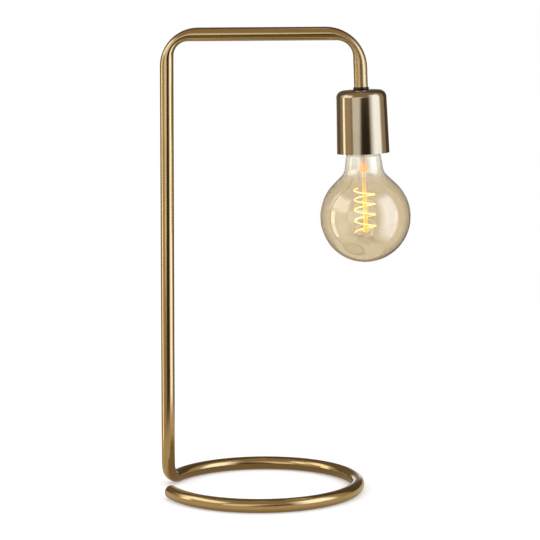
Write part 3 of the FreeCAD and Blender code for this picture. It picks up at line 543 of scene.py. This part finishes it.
# %% Patches of age
tree, given, result = open_group(
    "aged patches", {"Patches per metre": 25.0, "Softness": 0.15, "Share": 0.5}, "Patches")
cloud = add_node(tree, "ShaderNodeTexNoise", {
    "Vector": given["Place"], "Scale": given["Patches per metre"], "Detail": 4.0, "Roughness": 0.62})
middle = maths(tree, "SUBTRACT", 1.0, given["Share"])
low, high = maths(tree, "SUBTRACT", middle, given["Softness"]), maths(tree, "ADD", middle, given["Softness"])
tree.links.new(remapped(tree, cloud.outputs[0], low, high, 0.0, 1.0), result["Patches"])
aged_patches = tree

# %% Small pits
tree, given, result = open_group("small pits", {"Pits per metre": 500.0, "Pit size": 0.12}, "Pits")
cells = add_node(tree, "ShaderNodeTexVoronoi", {"Vector": given["Place"], "Scale": given["Pits per metre"]})
tree.links.new(remapped(tree, cells.outputs["Distance"], 0.0, given["Pit size"], 1.0, 0.0), result["Pits"])
small_pits = tree
print("node groups:", [group.name for group in bpy.data.node_groups])


# %% Open a material
def open_material(name, unrolled=False, **constants):
    """A material with its Principled shader. The place is the unrolled one on our pieces, else the object's."""
    material = bpy.data.materials.new(name)
    material.use_nodes = True
    tree = material.node_tree
    shader = tree.nodes["Principled BSDF"]
    for socket, value in constants.items():
        shader.inputs[socket.replace("_", " ")].default_value = value
    if unrolled:
        place = add_node(tree, "ShaderNodeAttribute", attribute_name="surface_place").outputs["Vector"]
    else:
        place = add_node(tree, "ShaderNodeTexCoord").outputs["Object"]
    return material, tree, shader.inputs, place


def masked(tree, group, place, **numbers):
    """The mask that a group gives at a place, with its own numbers."""
    inputs = {name.replace("_", " "): value for name, value in numbers.items()}
    return add_node(tree, "ShaderNodeGroup", {"Place": place, **inputs}, node_tree=group).outputs[0]


def raised(tree, height, distance, strength=1.0):
    """A bumped normal from a height mask. The distance is in millimetres."""
    inputs = {"Height": height, "Distance": distance * mm, "Strength": strength}
    return add_node(tree, "ShaderNodeBump", inputs).outputs[0]


# %% [markdown]
# ## Aged brass
#
# The tube and the cup are brass that was darkened and then brushed back. Flat brown paint would look dead, and
# an image texture isn't needed: the base colour goes from a warm gold to a brown through long drawn lines and
# soft patches, the roughness follows the same lines, and hairlines give a fine bump. The drop is duller than the
# rest, as the photograph shows. The metal itself only has to reflect, so Metallic stays at 1 and the bands of
# light and dark come from the lights around it. A clear coat stands for the lacquer.

# %% Mix the aged brass
streak_share, dull_fade, duller = 0.45, 0.02, 0.16


def aged_brass(name, gold, brown, rough, brown_share, lines_across, lines_along, dull_from):
    """Brushed brass between two tones, which is rougher from a distance along the piece, in metres."""
    material, tree, shader, place = open_material(
        name, unrolled=True, Metallic=1.0, Coat_Weight=1.0, Coat_Roughness=0.10)
    body = add_node(tree, "ShaderNodeTexCoord").outputs["Object"]
    streaks = masked(tree, drawn_grain, place, Lines_across=lines_across, Lines_along=lines_along)
    hairs = masked(tree, drawn_grain, place, Lines_across=lines_across * 4, Lines_along=lines_along * 5)
    patches = masked(tree, aged_patches, body, Patches_per_metre=22.0, Softness=0.14, Share=brown_share)
    pits = masked(tree, small_pits, body, Pits_per_metre=160.0, Pit_size=0.06)
    tone = maths(tree, "ADD", maths(tree, "MULTIPLY", streaks, streak_share),
                 maths(tree, "MULTIPLY", patches, 1 - streak_share))
    colour = blend_colours(tree, tone, gold, brown)
    speck = maths(tree, "MULTIPLY", pits, 0.3)
    tree.links.new(blend_colours(tree, speck, colour, brown), shader["Base Color"])
    lustre = maths(tree, "ADD", maths(tree, "MULTIPLY", hairs, 0.5), maths(tree, "MULTIPLY", tone, 0.5))
    along = add_node(tree, "ShaderNodeSeparateXYZ", {0: place}).outputs[2]
    dull = remapped(tree, along, dull_from - dull_fade, dull_from, 0.0, duller)
    polish = remapped(tree, lustre, 0.0, 1.0, rough[0], rough[1])
    tree.links.new(maths(tree, "ADD", polish, dull), shader["Roughness"])
    tree.links.new(raised(tree, hairs, 0.004, 0.4), shader["Normal"])
    return material


drop_begins, nowhere = (distances[-1] - 45.0) * mm, 10.0
tube_brass = aged_brass("aged brass tube", (0.60, 0.46, 0.24, 1), (0.50, 0.36, 0.17, 1), (0.13, 0.22), 0.35,
                        900.0, 12.0, drop_begins)
cup_brass = aged_brass("aged brass cup", (0.50, 0.43, 0.32, 1), (0.42, 0.35, 0.25, 1), (0.11, 0.19), 0.35,
                       1300.0, 25.0, nowhere)
for piece, brass in ((tube, tube_brass), (bushing, tube_brass), (cup, cup_brass)):
    piece.data.materials.append(brass)
    print(piece.name, "is", brass.name)


# %% [markdown]
# ## The other metals
#
# The hidden metal parts are zinc-plated steel, plain brass, tin-plated cap metal, solder and bare wires. They
# share one recipe: two tones in small patches, a roughness that follows them, and a fine bump.

# %% Mix the plain metals
def plain_metal(name, light, dark, rough, patches_per_metre, bump):
    """A bare metal between two tones. rough is its range of roughness and bump is in millimetres."""
    material, tree, shader, place = open_material(name, Metallic=1.0)
    patches = masked(tree, aged_patches, place, Patches_per_metre=patches_per_metre, Softness=0.2)
    fine = masked(tree, aged_patches, place, Patches_per_metre=patches_per_metre * 9, Softness=0.3)
    tree.links.new(blend_colours(tree, patches, light, dark), shader["Base Color"])
    tree.links.new(remapped(tree, patches, 0.0, 1.0, rough[0], rough[1]), shader["Roughness"])
    tree.links.new(raised(tree, fine, bump), shader["Normal"])
    return material


zinc_steel = plain_metal("zinc plated steel", (0.62, 0.62, 0.60, 1), (0.45, 0.45, 0.42, 1), (0.22, 0.40), 260.0, 0.01)
plain_brass = plain_metal("plain brass", (0.80, 0.60, 0.28, 1), (0.62, 0.43, 0.18, 1), (0.22, 0.38), 240.0, 0.01)
cap_metal = plain_metal("bulb cap metal", (0.78, 0.74, 0.66, 1), (0.60, 0.56, 0.48, 1), (0.20, 0.34), 180.0, 0.008)
solder = plain_metal("solder", (0.66, 0.66, 0.67, 1), (0.44, 0.44, 0.45, 1), (0.34, 0.55), 420.0, 0.03)
grey_wire = plain_metal("grey wire", (0.55, 0.53, 0.50, 1), (0.36, 0.33, 0.30, 1), (0.25, 0.42), 500.0, 0.006)
print("plain metals:", [metal.name for metal in (zinc_steel, plain_brass, cap_metal, solder, grey_wire)])


# %% [markdown]
# ## Paint, mouldings and cement
#
# These don't conduct, so they have a colour of their own under a clear gloss. The black paint of the collar is
# satin with a faint orange-peel. The mouldings are slightly speckled, as pressed resin is, and the cement is
# pale, rough and pitted.

# %% Mix the plain surfaces
def plain_surface(name, light, dark, rough, patches_per_metre, bump):
    """A surface that doesn't conduct, between two tones. rough and bump are as for the plain metals."""
    material, tree, shader, place = open_material(name, Metallic=0.0)
    patches = masked(tree, aged_patches, place, Patches_per_metre=patches_per_metre, Softness=0.25)
    pits = masked(tree, small_pits, place, Pits_per_metre=600.0, Pit_size=0.2)
    tree.links.new(blend_colours(tree, patches, light, dark), shader["Base Color"])
    tree.links.new(remapped(tree, patches, 0.0, 1.0, rough[0], rough[1]), shader["Roughness"])
    tree.links.new(raised(tree, maths(tree, "SUBTRACT", patches, pits), bump), shader["Normal"])
    return material


black_paint = plain_surface("black satin paint", (0.020, 0.017, 0.015, 1),
                            (0.010, 0.009, 0.008, 1), (0.28, 0.42), 900.0, 0.006)
black_resin = plain_surface("black resin", (0.030, 0.028, 0.027, 1),
                            (0.017, 0.016, 0.016, 1), (0.35, 0.55), 350.0, 0.012)
black_glass = plain_surface("black glass", (0.022, 0.020, 0.026, 1),
                            (0.010, 0.010, 0.014, 1), (0.06, 0.16), 300.0, 0.01)
brown_jacket = plain_surface("brown jacket", (0.16, 0.065, 0.030, 1),
                             (0.11, 0.042, 0.020, 1), (0.40, 0.55), 400.0, 0.01)
blue_jacket = plain_surface("blue jacket", (0.030, 0.11, 0.34, 1),
                            (0.020, 0.075, 0.25, 1), (0.40, 0.55), 400.0, 0.01)
cement = plain_surface("cap cement", (0.62, 0.57, 0.48, 1), (0.45, 0.40, 0.33, 1), (0.80, 0.95), 500.0, 0.06)
collar.data.materials.append(black_paint)
surfaces = (black_paint, black_resin, black_glass, brown_jacket, blue_jacket, cement)
print("plain surfaces:", [surface.name for surface in surfaces])


# %% [markdown]
# ## Glass
#
# The globe is tinted in the mass. The colour of a clear shader tints the light each time it passes a surface, so
# a wall with two surfaces tints it twice at the front and twice at the back. Blown glass is never quite even,
# so a very slow wave in the normal breaks up the reflections. The neck is paler than the ball. The ball's outline
# is brown where one looks through the wall's whole depth, and painted shade makes that brown strong along the lower
# outline and weak above. The stem and the rod start from the same recipe, in clear glass.

# %% Mix the glasses
neck_begins, neck_full = 0.272, 0.290
rim_begins, rim_full = 0.60, 0.86
rim_strong_below, rim_weak_above, rim_weak = 0.212, 0.245, 0.12


def blown_glass(name, clear, smoky, waves_per_metre, wave, coat, pale=None, rim=None):
    """Clear or tinted glass. pale colours the neck, and rim browns the outline, with painted shade on its lower part.
    """
    material, tree, shader, place = open_material(
        name, Metallic=0.0, Transmission_Weight=1.0, IOR=1.5, Coat_Weight=1.0, Coat_IOR=coat, Coat_Roughness=0.02)
    waves = masked(tree, aged_patches, place, Patches_per_metre=waves_per_metre, Softness=0.4)
    dust = masked(tree, small_pits, place, Pits_per_metre=90.0, Pit_size=0.03)
    colour = blend_colours(tree, waves, clear, smoky)
    if pale:
        height = add_node(tree, "ShaderNodeSeparateXYZ", {0: place}).outputs[2]
        colour = blend_colours(tree, remapped(tree, height, neck_begins, neck_full, 0.0, 1.0), colour, pale)
        facing = add_node(tree, "ShaderNodeLayerWeight", {"Blend": 0.5}).outputs["Facing"]
        edge = remapped(tree, facing, rim_begins, rim_full, 0.0, 1.0)
        # Painted shade: the brown outline is full on the lower part of the globe and fades to weak above it.
        low = remapped(tree, height, rim_strong_below, rim_weak_above, 1.0, rim_weak)
        colour = blend_colours(tree, maths(tree, "MULTIPLY", edge, low), colour, rim)
    tree.links.new(colour, shader["Base Color"])
    tree.links.new(remapped(tree, dust, 0.0, 1.0, 0.0, 0.25), shader["Roughness"])
    tree.links.new(raised(tree, waves, wave), shader["Normal"])
    return material, tree, shader, place


tinted_glass = blown_glass("tinted glass", (0.83, 0.75, 0.60, 1), (0.79, 0.70, 0.53, 1), 30.0, 0.25, 1.9,
                           pale=(0.92, 0.90, 0.83, 1), rim=(0.36, 0.16, 0.08, 1))[0]
globe.data.materials.append(tinted_glass)
print("globe:", tinted_glass.name)

# %% [markdown]
# ## The glowing spiral
#
# A wire at this heat is far brighter than the white behind it: its middle burns out to a pale yellow, and only
# its cooler parts stay orange. The emission colour moves between the two along the wire. The spiral's light on
# the glass rod inside it, the press above it and the two wires that feed it is painted: each of them gets a
# painted glow of its own, with an amber tint in the glass, that fades out with height.

# %% Light the spiral
glowing_wire, tree, shader, place = open_material("glowing wire", Roughness=0.5, Emission_Strength=3.4)
heat = masked(tree, aged_patches, place, Patches_per_metre=70.0, Softness=0.2)
tree.links.new(blend_colours(tree, heat, (1.0, 0.55, 0.15, 1), (1.0, 0.80, 0.42, 1)), shader["Emission Color"])
tree.links.new(blend_colours(tree, heat, (0.30, 0.16, 0.06, 1), (0.20, 0.10, 0.04, 1)), shader["Base Color"])
print("spiral:", glowing_wire.name)


# %% Fill the rod, the press and the lead wires with its light
def band(tree, place, low, high, fade):
    """A mask that is full between two heights, in metres, and flickers a little."""
    height = add_node(tree, "ShaderNodeSeparateXYZ", {0: place}).outputs[2]
    rising = remapped(tree, height, low - fade, low, 0.0, 1.0)
    falling = remapped(tree, height, high, high + fade, 1.0, 0.0)
    flicker = masked(tree, aged_patches, place, Patches_per_metre=300.0, Softness=0.3)
    inside = maths(tree, "MULTIPLY", rising, falling)
    return maths(tree, "MULTIPLY", inside, remapped(tree, flicker, 0.0, 1.0, 0.6, 1.0))


def glass_with_painted_glow(name, low, high, fade, amber, glow, faint):
    """Clear glass with a painted amber tint and a painted glow between two heights, for the spiral's light."""
    material, tree, shader, place = blown_glass(name, (0.97, 0.95, 0.90, 1), (0.93, 0.91, 0.85, 1), 90.0, 0.03, 1.5)
    lit = band(tree, place, low, high, fade)
    plain = shader["Base Color"].links[0].from_socket
    tree.links.new(blend_colours(tree, lit, plain, amber), shader["Base Color"])
    tree.links.new(blend_colours(tree, lit, faint, glow), shader["Emission Color"])
    shader["Emission Strength"].default_value = 1.0
    return material


rod_glass = glass_with_painted_glow("rod glass", 0.231, 0.264, 0.010, amber=(0.95, 0.66, 0.25, 1), glow=(0.72, 0.42, 0.03, 1),
                      faint=(0.22, 0.17, 0.09, 1))
press_glass = glass_with_painted_glow("press glass", 0.2825, 0.2890, 0.0025, amber=(0.84, 0.44, 0.12, 1),
                        glow=(0.36, 0.13, 0.01, 1), faint=(0.0, 0.0, 0.0, 1))
lead_with_painted_glow, tree, shader, place = open_material("copper wire with painted glow", Metallic=1.0, Roughness=0.35, Emission_Strength=1.0)
tone = masked(tree, aged_patches, place, Patches_per_metre=500.0, Softness=0.2)
tree.links.new(blend_colours(tree, tone, (0.80, 0.36, 0.20, 1), (0.55, 0.20, 0.11, 1)), shader["Base Color"])
# Painted glow: the lead wires give off a red-orange light between two heights, for the spiral's light on them.
lit = band(tree, place, 0.240, 0.300, 0.020)
tree.links.new(blend_colours(tree, lit, (0.05, 0.01, 0.0, 1), (0.42, 0.09, 0.02, 1)), shader["Emission Color"])
print("lit by the spiral:", [material.name for material in (rod_glass, press_glass, lead_with_painted_glow)])

# %% [markdown]
# ## Finishes on the CAD parts
#
# The parts whose CAD shape is right stay, and only their material slots are filled.

# %% Give every remaining node its finish
finishes = {
    zinc_steel: ["tube_insert", "threaded_nipple", "cup_washer", "cup_lock_washer", "cup_nut", "holder_set_screw",
                 "holder_screws", "terminal_screws"],
    plain_brass: ["terminal_plate_live", "terminal_plate_neutral", "shell_rivets", "contact_rivet", "centre_contact",
                  "screw_shell"],
    black_resin: ["holder_cap", "holder_body"],
    brown_jacket: ["lead_live"],
    blue_jacket: ["lead_neutral"],
    cap_metal: ["bulb_cap"],
    black_glass: ["bulb_insulator"],
    solder: ["bulb_contact"],
    cement: ["bulb_cement"],
    press_glass: ["bulb_stem"],
    rod_glass: ["bulb_rod"],
    grey_wire: ["bulb_support_wires"],
    lead_with_painted_glow: ["bulb_lead_wires"],
    glowing_wire: ["bulb_filament"],
}
for finish, names in finishes.items():
    for name in names:
        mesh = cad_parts[name].data
        mesh.materials.clear()
        mesh.materials.append(finish)
finished = sum(len(names) for names in finishes.values())
print("finished CAD nodes:", finished, "replaced:", len(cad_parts) - finished)


# %% [markdown]
# ## Floor and backdrop
#
# The photograph's background is plain white. The world is white at a strength of 1 for the camera and for rays
# that reflect or pass through glass, and softer for the light that falls on the object. The floor is pale paint
# that gets a little help towards white in the same three kinds of ray, so a faint shadow still shows on it. The
# metal doesn't reflect the floor: a round patch of table further down does that, in the photograph's tones, with a
# dark disc inside the ring that is painted shadow.

# %% Lay the floor
def seen_directly(tree):
    """1 for camera, glossy and transmission rays."""
    path = add_node(tree, "ShaderNodeLightPath").outputs
    first = maths(tree, "MAXIMUM", path["Is Camera Ray"], path["Is Glossy Ray"])
    return maths(tree, "MAXIMUM", first, path["Is Transmission Ray"])


def stage_piece(name, points, faces):
    """A mesh that belongs to the studio and not to the lamp."""
    mesh = bpy.data.meshes.new(name)
    mesh.from_pydata(points, [], faces)
    piece = bpy.data.objects.new(name, mesh)
    bpy.context.collection.objects.link(piece)
    piece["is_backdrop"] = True
    return piece


floor_radius, floor_corners, floor_lift = 1.2, 96, 0.28
floor_rim = [level(360 * i / floor_corners) * floor_radius for i in range(floor_corners)]
floor = stage_piece("floor", floor_rim, [tuple(range(floor_corners))])
floor_paint = bpy.data.materials.new("pale floor")
floor_paint.use_nodes = True
tree = floor_paint.node_tree
shader = tree.nodes["Principled BSDF"]
shader.inputs["Base Color"].default_value = (0.80, 0.80, 0.80, 1)
shader.inputs["Roughness"].default_value = 0.9
shader.inputs["Specular IOR Level"].default_value = 0.0
lift = add_node(tree, "ShaderNodeEmission", {"Strength": maths(tree, "MULTIPLY", seen_directly(tree), floor_lift)})
both = add_node(tree, "ShaderNodeAddShader", {0: shader.outputs[0], 1: lift.outputs[0]})
tree.links.new(both.outputs[0], tree.nodes["Material Output"].inputs["Surface"])
floor.data.materials.append(floor_paint)
floor.visible_glossy = False
print("floor:", floor_radius, "m radius")

# %% Whiten the world
world = bpy.data.worlds.new("studio")
world.use_nodes = True
bpy.context.scene.world = world
tree = world.node_tree
around_light = 0.75
strength = remapped(tree, seen_directly(tree), 0.0, 1.0, around_light, 1.0)
tree.links.new(strength, tree.nodes["Background"].inputs["Strength"])
tree.nodes["Background"].inputs["Color"].default_value = (1, 1, 1, 1)
print("world:", around_light, "on the lamp, 1.0 where it is seen")

# %% [markdown]
# ## What the metal sees
#
# A polished tube shows the room around it and hardly anything of its own. In the photograph each tube carries a
# broad pale strip from a soft light on the right, a narrow one from the left, and dark lines from the dark
# room behind the camera. So a ring of studio panels stands round the lamp: soft lights and dark cloths, most of
# them curved strips. Reflections see them, the soft lights also show through the glass, and the camera doesn't
# see them. They neither light the object nor hide the white background.
#
# A panel's edges fade out, as a soft light's edges do. The fading is drawn on the panel itself: every point
# carries how far inside the edge it is.

# %% Make a panel for the reflections
panel_centre_height = 0.22


def reflected_sheet(name, place_on, fades, brightness, colour, through_glass=False):
    """A glowing sheet. place_on gives its point at two shares, and fades are the shares that its edges fade over."""
    across, upward = 32, 20
    left, right, low, high = fades
    points, margins = [], []
    for j in range(upward + 1):
        for i in range(across + 1):
            u, v = i / across, j / upward
            points.append(place_on(u, v))
            sideways = min(1.0, u / left if left else 1.0, (1 - u) / right if right else 1.0)
            updown = min(1.0, v / low if low else 1.0, (1 - v) / high if high else 1.0)
            margins.append(sideways * updown)
    row = across + 1
    faces = [(j * row + i, j * row + i + 1, j * row + i + 1 + row, j * row + i + row)
             for j in range(upward) for i in range(across)]
    sheet = stage_piece(name, points, faces)
    margin_of_points = sheet.data.attributes.new("panel_edge", "FLOAT", "POINT")
    margin_of_points.data.foreach_set("value", margins)
    cloth = bpy.data.materials.new(name)
    cloth.use_nodes = True
    tree = cloth.node_tree
    tree.nodes.remove(tree.nodes["Principled BSDF"])
    margin = add_node(tree, "ShaderNodeAttribute", attribute_name="panel_edge").outputs["Fac"]
    glow = add_node(tree, "ShaderNodeEmission", {"Color": (*colour, 1), "Strength": brightness})
    gone = add_node(tree, "ShaderNodeBsdfTransparent")
    mixed = add_node(tree, "ShaderNodeMixShader", {0: margin, 1: gone.outputs[0], 2: glow.outputs[0]})
    tree.links.new(mixed.outputs[0], tree.nodes["Material Output"].inputs["Surface"])
    sheet.data.materials.append(cloth)
    sheet.visible_camera = sheet.visible_diffuse = False
    sheet.visible_transmission = through_glass
    sheet.visible_shadow = sheet.visible_volume_scatter = False


def curved_panel(name, left, right, low, high, brightness, colour, soft=(6.0, 6.0, 6.0, 6.0), distance=1.7, **more):
    """A panel round the lamp between two angles from the camera's side, in degrees, and two elevations."""
    def place_on(u, v):
        turn, rise = math.radians(left + (right - left) * u), math.radians(low + (high - low) * v)
        flat = math.cos(rise) * distance
        return math.sin(turn) * flat, -math.cos(turn) * flat, panel_centre_height + math.sin(rise) * distance

    wide, tall = right - left, high - low
    fades = (soft[0] / wide, soft[1] / wide, soft[2] / tall, soft[3] / tall)
    reflected_sheet(name, place_on, fades, brightness, colour, **more)


def flat_panel(name, left, right, slant, low, high, ahead, fades, brightness, colour, **more):
    """A flat soft light in front of the lamp. Its right edge slants in towards the bottom."""
    def place_on(u, v):
        return left + (right - slant * (1 - v) - left) * u, -ahead, low + (high - low) * v

    reflected_sheet(name, place_on, fades, brightness, colour, **more)


def round_panel(name, radius, height, rise, fade, brightness, colour):
    """A round patch of table, whose edge rises a little."""
    def place_on(u, v):
        turn = 2 * math.pi * u
        return math.cos(turn) * radius * v, math.sin(turn) * radius * v, height + rise * v**6

    reflected_sheet(name, place_on, (0, 0, 0, fade), brightness, colour)


# %% Stand the panels round the lamp
brown_room, dark_cloth, table_wood = (1.0, 0.74, 0.46), (1.0, 0.66, 0.42), (1.0, 0.82, 0.56)
daylight, lamp_light, front_white = (0.93, 1.0, 1.10), (1.0, 0.93, 0.72), (1.0, 0.97, 0.88)
curved_panel("brown room", -164, 164, -89, 89, 0.38, brown_room, (3, 3, 0, 0), distance=1.95)
curved_panel("dark room behind left", -166, -116, -60, 84, 0.17, brown_room)
curved_panel("grey cloth left", -120, -100, -60, 60, 0.40, brown_room, (4, 4, 6, 6))
curved_panel("dark wall behind", 158, 202, 0, 84, 0.15, brown_room, (3, 3, 5, 3))
curved_panel("dark floor behind", 158, 202, -62, -14, 0.30, brown_room, (3, 3, 6, 4))
curved_panel("narrow soft light left", -102, -84, -44, 15, 2.4, lamp_light, (4, 4, 8, 6), through_glass=True)
curved_panel("brown wall left", -82, -50, -60, 40, 0.58, brown_room)
curved_panel("dark room behind the camera", -22, 38, -24, 16, 0.035, dark_cloth, (8, 8, 8, 10))
curved_panel("dark floor ahead", -50, 60, -62, -20, 0.20, brown_room, (8, 8, 8, 6))
curved_panel("wide soft light right", 32, 94, -52, 50, 1.95, daylight, (22, 12, 20, 12), through_glass=True)
curved_panel("grey wall right", 88, 119, -60, 60, 0.48, brown_room)
curved_panel("dark room behind right", 113, 166, -60, 84, 0.10, brown_room)
curved_panel("umbrella left", -115, -42, 10, 50, 1.7, front_white, (10, 10, 10, 10), distance=1.6, through_glass=True)
curved_panel("small bare lamp left", -95.5, -92.5, 18.5, 21.5, 45.0, lamp_light, (1, 1, 1, 1), through_glass=True)
flat_panel("soft light front", -1.05, 0.46, 0.86, -0.02, 0.78, 1.07, (0.06, 0.18, 0.08, 0.12), 1.05, front_white,
           through_glass=True)
round_panel("table top", 0.22, -0.0010, 0.022, 0.06, 0.60, table_wood)
# Painted shadow: a dark disc on the table patch, which the metal reflects as the shade under and inside the ring.
round_panel("table inside the ring", 0.097, -0.0005, 0.0, 0.10, 0.26, brown_room)
panels = [mesh for mesh in bpy.data.meshes if "panel_edge" in mesh.attributes]
print("panels:", len(panels))

# %% [markdown]
# ## Soft lamps
#
# A large area lamp on the right and two weaker ones, on the left and above, light the paint, the glass and the
# floor. They are hidden from reflections, because the panels already give those.

# %% Hang the lamps
lamp_middle = Vector((0, 0, 0.2))


def soft_lamp(name, place, size, power):
    """A square lamp, its sides in metres and its power in watts, that looks at the middle of the object."""
    data = bpy.data.lights.new(name, "AREA")
    data.shape, data.size, data.energy = "SQUARE", size, power
    lamp = bpy.data.objects.new(name, data)
    lamp.location = place
    lamp.rotation_euler = (lamp_middle - Vector(place)).to_track_quat("-Z", "Y").to_euler()
    lamp.visible_glossy = lamp.visible_camera = lamp.visible_transmission = False
    bpy.context.collection.objects.link(lamp)
    print(name, power, "W")


soft_lamp("soft lamp right", (1.3, -1.1, 1.2), 1.2, 9.0)
soft_lamp("soft lamp left", (-1.4, -0.9, 1.2), 1.2, 6.0)
soft_lamp("soft lamp above", (0.0, 0.1, 1.9), 1.4, 6.0)
bpy.context.scene.view_settings.view_transform = "Standard"

# %% Print both boxes
shown_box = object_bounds()
boxes = {"cad": [list(corner) for corner in cad_box], "visual": [list(corner) for corner in shown_box]}
for name, box in boxes.items():
    print(name, [[round(number / mm, 2) for number in corner] for corner in box])
